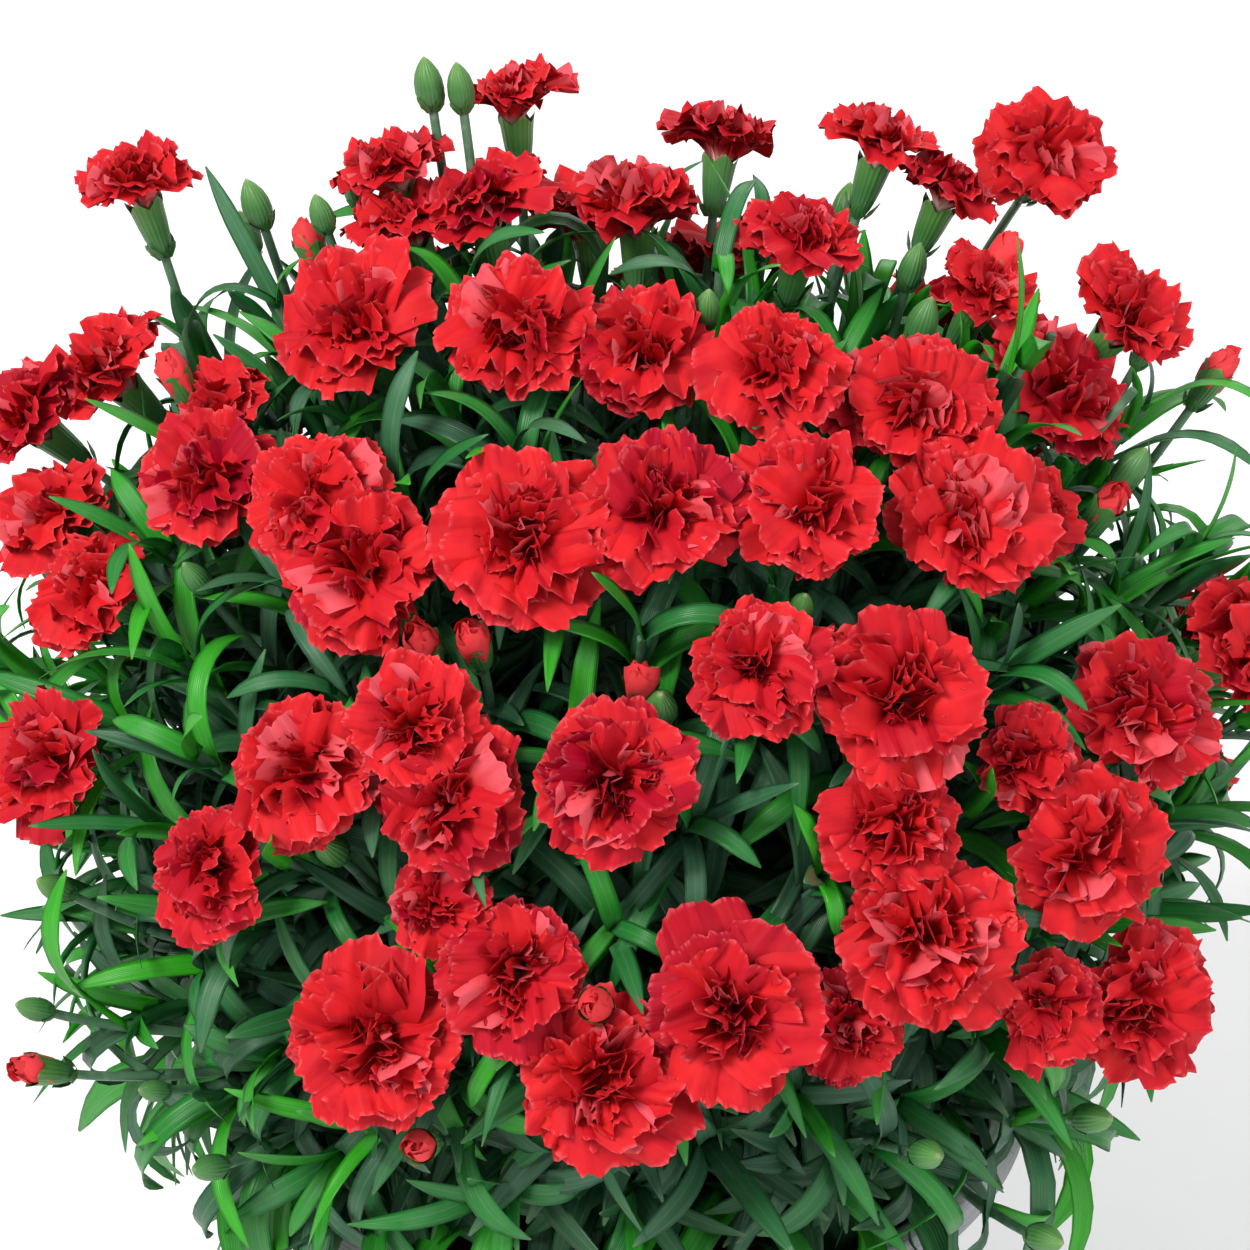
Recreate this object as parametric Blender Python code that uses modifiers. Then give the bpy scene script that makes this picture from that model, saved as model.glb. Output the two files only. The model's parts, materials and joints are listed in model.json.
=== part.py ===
"""Potted carnation: a tapered pot, its soil, eight leafy shoots and fifty double blooms.

Everything stands in one frame in metres: +Z is up, the origin is the centre of the pot's flat base,
the plant's front faces -Y and +X is to its right.
"""
import math

import bmesh
import bpy
from mathutils import Matrix, Vector

MM = 0.001

# Pot
POT_HEIGHT = 0.140
POT_RIM_RADIUS = 0.105
POT_BASE_RADIUS = 0.057
POT_WALL = 0.0035
POT_FLOOR = 0.005
LIP_HEIGHT = 0.012
LIP_PROUD = 0.0025
LIP_TAPER = 0.0005
LIP_ROUND = 0.0015
FOOT_BEVEL = 0.003
POT_STEPS = 32
DRAIN_COUNT = 3
DRAIN_RADIUS = 0.005
DRAIN_CIRCLE = 0.034
DRAIN_TURN = 17.0

# Soil
SOIL_BELOW_RIM = 0.014
SOIL_CROWN = 0.004
GAP = 0.0003
WELD = 0.00002

# Canopy: the blooms sit on an ellipsoid above the rim
DOME_ACROSS = 0.168
DOME_DEEP = 0.140
DOME_TALL = 0.192
DOME_CENTRE = Vector((0.0, 0.0, POT_HEIGHT + 0.038))
SUN = Vector((0.0, -0.80, 0.60))
SUN_PULL = 0.75
TALL_STALK = 25 * MM
TURNED_BLOOM = 39
TURNED_SHARE = 0.4

# Blooms: azimuth from the front towards the right (degrees), rise above the dome's centre (degrees),
# distance outside the dome (mm), diameter (mm)
BLOOMS = (
    (-21, 17, 0, 42), (-3, 16, 0, 41), (8, 21, 2, 40), (46, 13, 0, 39),
    (-10, 23, -4, 34), (25, 24, 0, 40), (-39, 26, 0, 31), (43, 26, 0, 39),
    (25, 32, -4, 33), (-2, 37, 0, 38), (-17, 35, -3, 35), (-32, 35, 0, 38),
    (-64, 26, 2, 35), (56, 33, 0, 38), (-22, 40, 0, 32), (28, 41, 0, 40),
    (13, 45, 0, 32), (80, 29, 4, 36), (-72, 38, 2, 32), (-35, 51, -2, 38),
    (-46, 54, 0, 34), (-15, 55, 0, 40), (4, 58, 0, 38), (25, 57, 0, 35),
    (46, 52, 0, 37), (-67, 51, 0, 35), (-99, 46, 18, 34), (-75, 67, 2, 39),
    (-37, 75, 0, 38), (34, 70, 0, 33), (56, 62, 0, 36), (88, 53, 2, 41),
    (101, 50, 22, 35), (178, 78, 2, 36), (-128, 75, 8, 34), (104, 76, 4, 29),
    (-157, 68, 29, 29), (163, 66, 19, 29), (124, 54, 40, 34), (-109, 54, 46, 30),
    (134, 24, 0, 38), (160, 19, 0, 40), (-173, 25, 0, 38), (-146, 20, 0, 40),
    (-116, 24, 0, 36), (137, 45, 0, 38), (172, 47, 0, 39), (-150, 45, 0, 37),
    (110, 18, -4, 33), (-172, 63, 0, 35),
)

# Closed buds on stalks of their own: azimuth, rise, distance outside the dome (mm)
BUDS = (
    (-8, 46, -14), (16, 66, -6), (62, 18, 0), (33, 51, -12), (97, 40, 6), (88, 18, 0),
    (132, 62, 18), (140, 10, 0), (-179, 34, 4), (170, 12, -8), (-140, 60, 30), (-126, 34, 4),
    (-104, 58, 22), (-82, 18, 4), (-56, 42, -8), (-58, 14, 0),
)

# Flower head, as fractions of its diameter: (radius, height) from the neck's foot to the middle of
# its face
HEAD_RINGS = ((0.0, -0.40), (0.13, -0.35), (0.43, -0.03), (0.50, 0.08), (0.29, 0.21), (0.0, 0.19))
HEAD_SEGMENTS = 12
HEAD_RUFFLE = 0.07
HEAD_RUFFLE_FROM = 0.40

# Stalks and calyxes
STALK_RADIUS = 0.0014
CALYX_LENGTH = 0.017
CALYX_RADIUS = 0.0046
BUD_LENGTH = 0.020
BUD_RADIUS = 0.0050
STALK_STATIONS = (0.0, 0.4, 0.75)
STALK_ARRIVAL = 0.35
CALYX_SHOULDER = 0.35
CALYX_FLARE = 1.05
BUD_TAPER = 0.6
SECTOR_SPARE = 1.1

# Crowns and leaders, one for each shoot
SHOOTS = ("front", "front_right", "right", "back_right", "back", "back_left", "left", "front_left")
SECTOR = 360.0 / len(SHOOTS)
CROWN_CIRCLE = 0.042
CROWN_HEIGHT = 0.020
CROWN_RADIUS = 0.014
CROWN_TAPER = 0.85
ROOT_CIRCLE = 0.009
ROOT_DEPTH = 0.004
ROOT_TURN = 11.0
LEADER_CIRCLE = 0.072
LEADER_HEIGHT = 0.255
SECTOR_GAP = 0.0006

# Leaves
LEAF_HALF_WIDTH = 0.0045
LEAF_HALF_THICKNESS = 0.0008
LEAF_STATIONS = 6
LOW_LEAF_TURNS = (-25, -9, 9, 25)
LOW_LEAF_LENGTH = 0.106
LOW_LEAF_START = 52.0
LOW_LEAF_END = -34.0
LOW_LEAF_DROOP = 22.0
LOW_LEAF_VARIES = 0.12
LOW_LEAF_DEPTH = 0.6
MID_LEAVES = ((0.36, -24), (0.50, 24), (0.68, -22), (0.84, 22))
MID_LEAF_LENGTH = 0.040
MID_LEAF_START = 62.0
MID_LEAF_END = 20.0


def clear_scene():
    for obj in list(bpy.data.objects):
        bpy.data.objects.remove(obj, do_unlink=True)


def new_collection(name):
    collection = bpy.data.collections.new(name)
    bpy.context.scene.collection.children.link(collection)
    return collection


def make_material(name, colour, roughness):
    material = bpy.data.materials.new(name)
    material.use_nodes = True
    shader = material.node_tree.nodes["Principled BSDF"]
    shader.inputs["Base Color"].default_value = (*colour, 1.0)
    shader.inputs["Roughness"].default_value = roughness
    shader.inputs["Metallic"].default_value = 0.0
    return material


def object_from_bmesh(name, bm, collection, material=None):
    mesh = bpy.data.meshes.new(name)
    bm.to_mesh(mesh)
    bm.free()
    obj = bpy.data.objects.new(name, mesh)
    collection.objects.link(obj)
    if material is not None:
        mesh.materials.append(material)
    return obj


def outward(azimuth):
    """Horizontal unit vector at an azimuth counted from the front (-Y) towards the right (+X)."""
    angle = math.radians(azimuth)
    return Vector((math.sin(angle), -math.cos(angle), 0.0))


def dome_place(azimuth, rise, lift_mm):
    """A point on the canopy's ellipsoid, moved outwards, and the ellipsoid's direction there."""
    rise = math.radians(rise)
    ray = outward(azimuth) * math.cos(rise) + Vector((0.0, 0.0, math.sin(rise)))
    scaled = Vector((ray.x * DOME_ACROSS, ray.y * DOME_DEEP, ray.z * DOME_TALL))
    return DOME_CENTRE + scaled + ray * lift_mm * MM, ray


def bloom_facing(number, azimuth, ray, lift_mm):
    """Blooms look outwards, those at the front also towards the light, long-stalked ones upwards."""
    if number == TURNED_BLOOM:
        return (ray * TURNED_SHARE + SUN).normalized()
    pull = SUN_PULL * 0.5 * (1.0 + math.cos(math.radians(azimuth)))
    facing = ray + SUN * pull
    if lift_mm * MM > TALL_STALK:
        facing = ray + Vector((0.0, 0.0, 1.0))
    return facing.normalized()


# ---------------------------------------------------------------- pot and soil

def turned_body(name, profile, steps, collection, material):
    """A turned solid: the profile runs up the inside and down the outside, from axis to axis."""
    bm = bmesh.new()
    verts = [bm.verts.new((radius, 0.0, height)) for radius, height in profile]
    for first, second in zip(verts, verts[1:]):
        bm.edges.new((first, second))
    obj = object_from_bmesh(name, bm, collection, material)
    screw = obj.modifiers.new("turn", "SCREW")
    screw.steps = steps
    screw.render_steps = steps
    screw.use_merge_vertices = True
    screw.merge_threshold = 0.0001
    return obj


def cone_radius(height):
    """Outer radius of the pot's tapered wall at a height."""
    return POT_BASE_RADIUS + (POT_RIM_RADIUS - LIP_PROUD - POT_BASE_RADIUS) * height / POT_HEIGHT


def build_pot(parts, cutters):
    lip_foot = POT_HEIGHT - LIP_HEIGHT
    profile = (
        (0.0, POT_FLOOR),
        (cone_radius(POT_FLOOR) - POT_WALL, POT_FLOOR),
        (cone_radius(POT_HEIGHT) - POT_WALL, POT_HEIGHT - LIP_ROUND),
        (cone_radius(POT_HEIGHT) - POT_WALL + LIP_ROUND, POT_HEIGHT),
        (POT_RIM_RADIUS - LIP_ROUND, POT_HEIGHT),
        (POT_RIM_RADIUS, POT_HEIGHT - LIP_ROUND),
        (POT_RIM_RADIUS - LIP_TAPER, lip_foot),
        (cone_radius(lip_foot - LIP_PROUD), lip_foot - LIP_PROUD),
        (cone_radius(FOOT_BEVEL), FOOT_BEVEL),
        (POT_BASE_RADIUS - FOOT_BEVEL, 0.0),
        (0.0, 0.0),
    )
    grey = make_material("pot_grey", (0.23, 0.24, 0.25), 0.55)
    pot = turned_body("pot", profile, POT_STEPS, parts, grey)
    pot.data.shade_smooth()
    for number in range(DRAIN_COUNT):
        bm = bmesh.new()
        place = outward(DRAIN_TURN + 360.0 * number / DRAIN_COUNT) * DRAIN_CIRCLE
        bmesh.ops.create_cone(bm, cap_ends=True, segments=10, radius1=DRAIN_RADIUS,
                              radius2=DRAIN_RADIUS, depth=POT_FLOOR * 3,
                              matrix=Matrix.Translation(place))
        cutter = object_from_bmesh(f"drain_cutter_{number + 1}", bm, cutters)
        cutter.hide_render = True
        cutter.display_type = "WIRE"
        cut = pot.modifiers.new(f"drain_{number + 1}", "BOOLEAN")
        cut.operation = "DIFFERENCE"
        cut.object = cutter


def soil_top():
    return POT_HEIGHT - SOIL_BELOW_RIM


def build_soil(parts):
    top = soil_top()
    foot = POT_FLOOR + GAP
    wall = POT_WALL + 2 * GAP
    profile = (
        (0.0, top),
        (CROWN_CIRCLE + CROWN_RADIUS * 2, top),
        (cone_radius(top - SOIL_CROWN) - wall, top - SOIL_CROWN),
        (cone_radius(foot) - wall, foot),
        (0.0, foot),
    )
    brown = make_material("potting_soil", (0.05, 0.035, 0.025), 0.95)
    turned_body("soil", profile, POT_STEPS, parts, brown)


# ---------------------------------------------------------------- blooms

def keep_in_cell(point, centre, radius, others):
    """Draw a point of a flower head back towards its centre where a neighbour presses on it."""
    reach = 1.0
    for other_centre, other_radius in others:
        between = other_centre - centre
        spacing = between.length
        wall = (spacing * spacing + radius * radius - other_radius * other_radius) / (2 * spacing)
        beyond = (point - centre).dot(between) / spacing
        if beyond > wall - GAP:
            reach = min(reach, (wall - GAP) / beyond)
    return centre + (point - centre) * reach


def build_bloom(name, bloom, others, parts, material):
    centre, facing, diameter = bloom
    turn = facing.to_track_quat("Z", "Y")
    bm = bmesh.new()
    bmesh.ops.create_uvsphere(bm, u_segments=HEAD_SEGMENTS, v_segments=len(HEAD_RINGS) - 1, radius=1.0)
    for vert in bm.verts:
        ring = round(math.acos(max(-1.0, min(1.0, -vert.co.z))) / math.pi * (len(HEAD_RINGS) - 1))
        radius, height = HEAD_RINGS[ring]
        angle = math.atan2(vert.co.y, vert.co.x)
        if radius > HEAD_RUFFLE_FROM:
            wave = HEAD_RUFFLE * math.cos(angle * HEAD_SEGMENTS / 2)
            radius *= 1.0 + wave - HEAD_RUFFLE
            height += wave * 0.5
        local = Vector((radius * math.cos(angle), radius * math.sin(angle), height)) * diameter
        vert.co = keep_in_cell(centre + turn @ local, centre, diameter / 2, others)
    object_from_bmesh(name, bm, parts, material)


def place_blooms():
    placed = []
    for number, (azimuth, rise, lift_mm, diameter_mm) in enumerate(BLOOMS):
        centre, ray = dome_place(azimuth, rise, lift_mm)
        placed.append((centre, bloom_facing(number + 1, azimuth, ray, lift_mm), diameter_mm * MM))
    return placed


def build_blooms(placed, parts):
    red = make_material("petal_red", (0.72, 0.03, 0.04), 0.6)
    for number, bloom in enumerate(placed):
        others = [(c, d / 2) for k, (c, _, d) in enumerate(placed) if k != number]
        build_bloom(f"bloom_{number + 1:02d}", bloom, others, parts, red)


# ---------------------------------------------------------------- shoots

def tube(name, points, radii, cutters):
    """A round-sectioned rod along points, with its own radius at each, as a closed mesh."""
    curve = bpy.data.curves.new(name, "CURVE")
    curve.dimensions = "3D"
    curve.bevel_depth = 1.0
    curve.bevel_resolution = 1
    curve.use_fill_caps = True
    spline = curve.splines.new("POLY")
    spline.points.add(len(points) - 1)
    for target, point, radius in zip(spline.points, points, radii):
        target.co = (*point, 1.0)
        target.radius = radius
    rod = bpy.data.objects.new(name + "_path", curve)
    cutters.objects.link(rod)
    bpy.context.view_layer.update()
    evaluated = rod.evaluated_get(bpy.context.evaluated_depsgraph_get())
    mesh = bpy.data.meshes.new_from_object(evaluated)
    bpy.data.objects.remove(rod, do_unlink=True)
    bm = bmesh.new()
    bm.from_mesh(mesh)
    bpy.data.meshes.remove(mesh)
    bmesh.ops.remove_doubles(bm, verts=bm.verts, dist=WELD)
    return object_from_bmesh(name, bm, cutters)


def keep_in_sector(point, azimuth, radius):
    """Hold a rod's centre line clear of the planes that part this shoot from its neighbours."""
    for side in (-1, 1):
        along = outward(azimuth + side * SECTOR / 2)
        inward = Vector((-along.y, along.x, 0.0)) * -side
        room = point.dot(inward) - radius - SECTOR_GAP
        if room < 0.0:
            point = point - inward * room
    return point


def stalk_point(root, foot, facing, share):
    """A point on one smooth bend from the crown to the foot of the calyx, arriving along it."""
    bend = foot - facing * STALK_ARRIVAL * (foot - root).length
    return root.lerp(bend, share).lerp(bend.lerp(foot, share), share)


def build_stalk(name, root, tip, facing, length, radius, closed_tip, azimuth, cutters):
    """A stalk that swells into a calyx, or into a bud when its tip is closed."""
    foot = tip - facing * length
    points = [stalk_point(root, foot, facing, share) for share in STALK_STATIONS]
    radii = [STALK_RADIUS] * len(points)
    tip_radius = STALK_RADIUS * BUD_TAPER if closed_tip else radius * CALYX_FLARE
    for share, swell in ((0.0, STALK_RADIUS), (CALYX_SHOULDER, radius), (1.0, tip_radius)):
        points.append(foot.lerp(tip, share))
        radii.append(swell)
    points = [keep_in_sector(p, azimuth, r * SECTOR_SPARE) for p, r in zip(points, radii)]
    return tube(name, points, radii, cutters)


def build_leaf(name, root, azimuth, length, start, end, cutters):
    """A pointed blade whose heading turns steadily from its start angle to its end angle."""
    along = outward(azimuth)
    across = Vector((-along.y, along.x, 0.0))
    bm = bmesh.new()
    bmesh.ops.create_uvsphere(bm, u_segments=4, v_segments=LEAF_STATIONS, radius=1.0)
    start = math.radians(start)
    end = math.radians(end)
    turn = end - start
    for vert in bm.verts:
        share = (vert.co.z + 1.0) / 2.0
        heading = start + turn * share
        forward = length * (math.sin(heading) - math.sin(start)) / turn
        upward = length * (math.cos(start) - math.cos(heading)) / turn
        face = along * -math.sin(heading) + Vector((0.0, 0.0, math.cos(heading)))
        spine = root + along * forward + Vector((0.0, 0.0, upward))
        vert.co = spine + across * vert.co.x * LEAF_HALF_WIDTH + face * vert.co.y * LEAF_HALF_THICKNESS
    bmesh.ops.recalc_face_normals(bm, faces=bm.faces)
    return object_from_bmesh(name, bm, cutters)


def sector_of(azimuth):
    return round(azimuth / SECTOR) % len(SHOOTS)


def shoot_pieces(number, placed, pieces):
    """Stalks, leader and leaves of one shoot, as closed rods and blades rooted in its crown."""
    side = SHOOTS[number]
    azimuth = number * SECTOR
    crown_top = outward(azimuth) * CROWN_CIRCLE
    crown_top.z = soil_top() + GAP + CROWN_HEIGHT
    stalks = []
    for index, ((centre, facing, diameter), row) in enumerate(zip(placed, BLOOMS)):
        if sector_of(row[0]) == number:
            tip = centre + facing * (HEAD_RINGS[0][1] * diameter - GAP)
            stalks.append((f"stalk_{index + 1:02d}", tip, facing, CALYX_LENGTH, CALYX_RADIUS, False))
    for index, (bud_azimuth, rise, lift_mm) in enumerate(BUDS):
        if sector_of(bud_azimuth) == number:
            tip, facing = dome_place(bud_azimuth, rise, lift_mm)
            stalks.append((f"bud_{index + 1:02d}", tip, facing, BUD_LENGTH, BUD_RADIUS, True))
    for index, (name, tip, facing, length, radius, closed_tip) in enumerate(stalks):
        root = crown_top + outward(azimuth + ROOT_TURN + 360.0 * index / len(stalks)) * ROOT_CIRCLE
        root.z -= ROOT_DEPTH
        build_stalk(name, root, tip, facing, length, radius, closed_tip, azimuth, pieces)
    leader_tip = outward(azimuth) * LEADER_CIRCLE + Vector((0.0, 0.0, LEADER_HEIGHT))
    leader_root = crown_top - Vector((0.0, 0.0, ROOT_DEPTH))
    build_stalk(f"leader_{side}", leader_root, leader_tip, Vector((0.0, 0.0, 1.0)),
                BUD_LENGTH, BUD_RADIUS, True, azimuth, pieces)
    for index, turn in enumerate(LOW_LEAF_TURNS):
        stretch = 1.0 + LOW_LEAF_VARIES * math.sin(2 * index + number)
        droop = LOW_LEAF_DROOP * math.cos(2 * index + number)
        root = crown_top + outward(azimuth + turn * 2) * ROOT_CIRCLE
        root.z -= CROWN_HEIGHT * LOW_LEAF_DEPTH
        build_leaf(f"low_leaf_{side}_{index + 1}", root, azimuth + turn, LOW_LEAF_LENGTH * stretch,
                   LOW_LEAF_START, LOW_LEAF_END - droop, pieces)
    foot = leader_tip - Vector((0.0, 0.0, BUD_LENGTH))
    for index, (share, turn) in enumerate(MID_LEAVES):
        base = stalk_point(leader_root, foot, Vector((0.0, 0.0, 1.0)), share)
        build_leaf(f"mid_leaf_{side}_{index + 1}", base, azimuth + turn, MID_LEAF_LENGTH,
                   MID_LEAF_START, MID_LEAF_END, pieces)
    for piece in pieces.objects:
        piece.hide_render = True
        piece.display_type = "WIRE"


def grow_shoot(number, pieces, parts, material):
    """The crown of one shoot, with its stalks and leaves joined to it as one grown piece."""
    crown_centre = outward(number * SECTOR) * CROWN_CIRCLE
    crown_centre.z = soil_top() + GAP + CROWN_HEIGHT / 2
    bm = bmesh.new()
    bmesh.ops.create_cone(bm, cap_ends=True, segments=8, radius1=CROWN_RADIUS,
                          radius2=CROWN_RADIUS * CROWN_TAPER, depth=CROWN_HEIGHT,
                          matrix=Matrix.Translation(crown_centre))
    shoot = object_from_bmesh(f"shoot_{SHOOTS[number]}", bm, parts, material)
    join = shoot.modifiers.new("grow_together", "BOOLEAN")
    join.operation = "UNION"
    join.operand_type = "COLLECTION"
    join.collection = pieces


def main():
    clear_scene()
    parts = new_collection("potted_carnation")
    cutters = new_collection("cutters")
    placed = place_blooms()
    grown = [new_collection(f"shoot_{side}_pieces") for side in SHOOTS]
    for number, pieces in enumerate(grown):
        shoot_pieces(number, placed, pieces)
    build_pot(parts, cutters)
    build_soil(parts)
    build_blooms(placed, parts)
    green = make_material("stem_green", (0.10, 0.26, 0.12), 0.5)
    for number, pieces in enumerate(grown):
        grow_shoot(number, pieces, parts, green)


main()
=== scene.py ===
"""Looks of a potted carnation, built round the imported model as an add-on.

It makes the pot, soil, double blooms, calyxes, buds, stalks, leaves and a plain studio.
One unit is one metre and the plant's front faces -Y.
"""

import functools
import json
import math
import random

import bmesh
import bpy
import numpy as np
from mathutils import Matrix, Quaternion, Vector

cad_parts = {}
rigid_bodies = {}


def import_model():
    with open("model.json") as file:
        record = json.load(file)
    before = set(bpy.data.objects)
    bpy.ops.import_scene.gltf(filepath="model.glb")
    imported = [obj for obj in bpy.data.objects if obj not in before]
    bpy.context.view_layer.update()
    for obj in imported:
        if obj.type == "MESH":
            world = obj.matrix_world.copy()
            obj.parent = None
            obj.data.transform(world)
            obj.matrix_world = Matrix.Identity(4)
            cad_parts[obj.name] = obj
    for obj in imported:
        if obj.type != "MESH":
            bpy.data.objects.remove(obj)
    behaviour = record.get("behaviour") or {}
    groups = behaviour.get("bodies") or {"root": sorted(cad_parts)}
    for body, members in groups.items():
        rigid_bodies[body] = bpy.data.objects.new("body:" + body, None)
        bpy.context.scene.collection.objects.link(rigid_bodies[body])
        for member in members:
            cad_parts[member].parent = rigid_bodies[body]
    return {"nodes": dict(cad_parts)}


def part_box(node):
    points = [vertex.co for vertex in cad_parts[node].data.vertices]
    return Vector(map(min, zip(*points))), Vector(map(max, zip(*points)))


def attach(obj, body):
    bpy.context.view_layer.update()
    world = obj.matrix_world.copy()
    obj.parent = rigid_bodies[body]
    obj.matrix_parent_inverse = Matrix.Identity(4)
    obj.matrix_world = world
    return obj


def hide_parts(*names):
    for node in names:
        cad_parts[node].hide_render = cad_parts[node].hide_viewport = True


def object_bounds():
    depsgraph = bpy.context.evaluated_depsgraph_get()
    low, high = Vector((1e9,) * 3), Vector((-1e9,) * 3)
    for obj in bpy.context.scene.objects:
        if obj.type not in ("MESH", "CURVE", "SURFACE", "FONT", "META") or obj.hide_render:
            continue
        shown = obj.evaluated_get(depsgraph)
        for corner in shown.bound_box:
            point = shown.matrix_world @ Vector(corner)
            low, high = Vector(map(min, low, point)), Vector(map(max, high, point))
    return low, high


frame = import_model()
CAD_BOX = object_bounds()

bl_info = {
    "name": "Potted carnation",
    "version": (1, 0, 0),
    "blender": (4, 5, 0),
    "location": "3D View > Sidebar > Carnation",
    "description": "Builds a potted double carnation round its packed frame",
    "category": "Object",
}

MM = 0.001
UP = Vector((0.0, 0.0, 1.0))
BODY = "root"

# The pot and its crowns of shoots, measured on the frame
POT_LOW, POT_HIGH = (Vector(corner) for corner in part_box("pot"))
SOIL_HIGH = Vector(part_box("soil")[1])
RIM_HEIGHT = POT_HIGH.z
RIM_RADIUS = (POT_HIGH.x - POT_LOW.x) / 2
SOIL_TOP = SOIL_HIGH.z
SHOOTS = ("front", "front_right", "right", "back_right", "back", "back_left", "left", "front_left")
SECTOR = 360.0 / len(SHOOTS)
CROWN_CIRCLE = RIM_RADIUS * 0.40
CROWN_TOP = SOIL_TOP + 16 * MM

# The canopy's ellipsoid, which the pieces that have no node of their own are placed on
DOME_SIZE = Vector((0.168, 0.140, 0.192))
DOME_CENTRE = Vector((0.0, 0.0, RIM_HEIGHT + 0.038))

# A flower head runs from its foot, in the calyx, to the middle of its face: shares of its diameter
HEAD_FOOT = 0.40
HEAD_FACE = 0.19

# Small and half-hidden blooms: azimuth from the front to the right and rise in degrees, distance
# outside the dome and diameter in millimetres
EXTRA_BLOOMS = (
    (18, 18, -4, 28), (36, 16, -2, 26), (-18, 27, -8, 25), (41, 34, -6, 26),
    (-86, 38, 10, 34), (-96, 40, 26, 33), (-88, 53, -4, 28), (5, 77, -8, 35),
    (53, 66, -8, 26), (99, 61, 8, 27), (64, 50, -8, 26), (-125, 68, 20, 28),
    (121, 62, 22, 26), (-117, 70, 8, 29), (130, 66, 26, 28), (112, 6, -4, 32),
    (140, 8, -6, 33), (172, 6, -4, 34), (-158, 6, -6, 33), (-128, 8, -4, 34),
    (158, 34, -8, 32), (-166, 44, -8, 33), (-134, 34, -8, 33), (122, 40, -8, 32),
    (-104, 10, -6, 30), (160, 62, -8, 33), (-140, 58, -10, 32),
)

# Closed green buds and buds that show red: azimuth, rise, distance outside the dome
GREEN_BUDS = (
    (-106, 66, 24), (-120, 66, 24), (-112, 60, 30), (-136, 70, 40), (-139, 72, 38),
    (-118, 56, 26), (88, 66, 2), (108, 66, 8), (62, 68, 2), (66, 66, -4), (22, 51, -6),
    (32, 48, -8), (-92, 62, 2), (-6, 66, -10), (-60, 45, 0), (-60, 18, 2), (-56, 10, 10),
    (-44, 7, 0), (-38, 2, -2), (36, 80, 2), (-30, 30, -8), (24, 8, 2), (42, 5, -2),
    (36, -3, 2), (84, 46, 6), (100, 48, 24), (130, 30, 8), (160, 38, 6), (-172, 14, 4),
    (-144, 36, 8), (-122, 16, 6), (178, 62, 14), (-160, 56, 12), (148, 56, 16), (3, 44, -10),
)
RED_BUDS = (
    (-92, 52, 12), (-110, 63, 16), (-25, 47, -4), (-19, 48, -4), (1, 46, -8), (-3, 22, 4),
    (-13, 22, 0), (-17, 10, 2), (32, 24, 6), (106, 60, 18), (102, 42, 32), (-54, 6, 12),
    (23, 47, -4), (140, 34, 6), (-176, 36, 6), (-130, 24, 6), (78, 46, 0),
)


def outward(azimuth):
    """Horizontal unit vector at an azimuth counted from the front towards the right."""
    angle = math.radians(azimuth)
    return Vector((math.sin(angle), -math.cos(angle), 0.0))


def dome_place(azimuth, rise, lift_mm):
    """A point on the canopy's ellipsoid moved outwards, and the direction outwards there."""
    rise = math.radians(rise)
    ray = outward(azimuth) * math.cos(rise) + UP * math.sin(rise)
    scaled = Vector(a * b for a, b in zip(ray, DOME_SIZE))
    return DOME_CENTRE + scaled + ray * lift_mm * MM, ray


def azimuth_of(point):
    return math.degrees(math.atan2(point.x, -point.y))


def sector_of(point):
    return round(azimuth_of(point) / SECTOR) % len(SHOOTS)


def turn_to(direction, spin=0.0):
    """The rotation that stands local Z along a direction, after a spin about it."""
    return direction.to_track_quat("Z", "Y") @ Quaternion(UP, spin)


# ---------------------------------------------------------------- objects and node trees

def link(obj):
    bpy.context.scene.collection.objects.link(obj)
    return obj


def mesh_object(name, verts, faces, uvs=None):
    """An object from rings or rows worked out by a rule; uvs hold one pair for each vertex."""
    mesh = bpy.data.meshes.new(name)
    mesh.from_pydata([tuple(v) for v in verts], [], faces)
    if uvs is not None:
        layer = mesh.uv_layers.new(name="UVMap")
        corner = np.empty(len(mesh.loops), dtype=np.int32)
        mesh.loops.foreach_get("vertex_index", corner)
        layer.uv.foreach_set("vector", np.asarray(uvs, dtype=np.float32)[corner].ravel())
    mesh.shade_smooth()
    return bpy.data.objects.new(name, mesh)


def ring_faces(ring, rows, first=0):
    """Quads between rows of corners that each close into a ring."""
    faces = []
    for row in range(rows):
        a, b = first + row * ring, first + (row + 1) * ring
        faces += [(a + k, b + k, b + (k + 1) % ring, a + (k + 1) % ring) for k in range(ring)]
    return faces


def finished(carrier, name):
    """The evaluated carrier as a plain mesh at the origin; the carrier and its modifiers go."""
    bpy.context.view_layer.update()
    evaluated = carrier.evaluated_get(bpy.context.evaluated_depsgraph_get())
    mesh = bpy.data.meshes.new_from_object(evaluated)
    mesh.name = name
    bpy.data.objects.remove(carrier, do_unlink=True)
    return link(bpy.data.objects.new(name, mesh))


def declare(piece, slot, *nodes):
    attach(piece, BODY)
    if nodes:
        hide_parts(*nodes)


def feed(tree, socket, value):
    """Wires an output to a socket, or sets it to a number, a vector or a colour."""
    if isinstance(value, bpy.types.NodeSocket):
        tree.links.new(value, socket)
    elif socket.type == "RGBA":
        socket.default_value = (*value, 1.0)
    else:
        socket.default_value = value


def add_node(tree, kind, fed=(), **settings):
    """A node with its settings, and its inputs fed by name or number."""
    node = tree.nodes.new(kind)
    for key, value in settings.items():
        setattr(node, key, value)
    for key, value in dict(fed).items():
        feed(tree, node.inputs[key], value)
    return node


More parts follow.
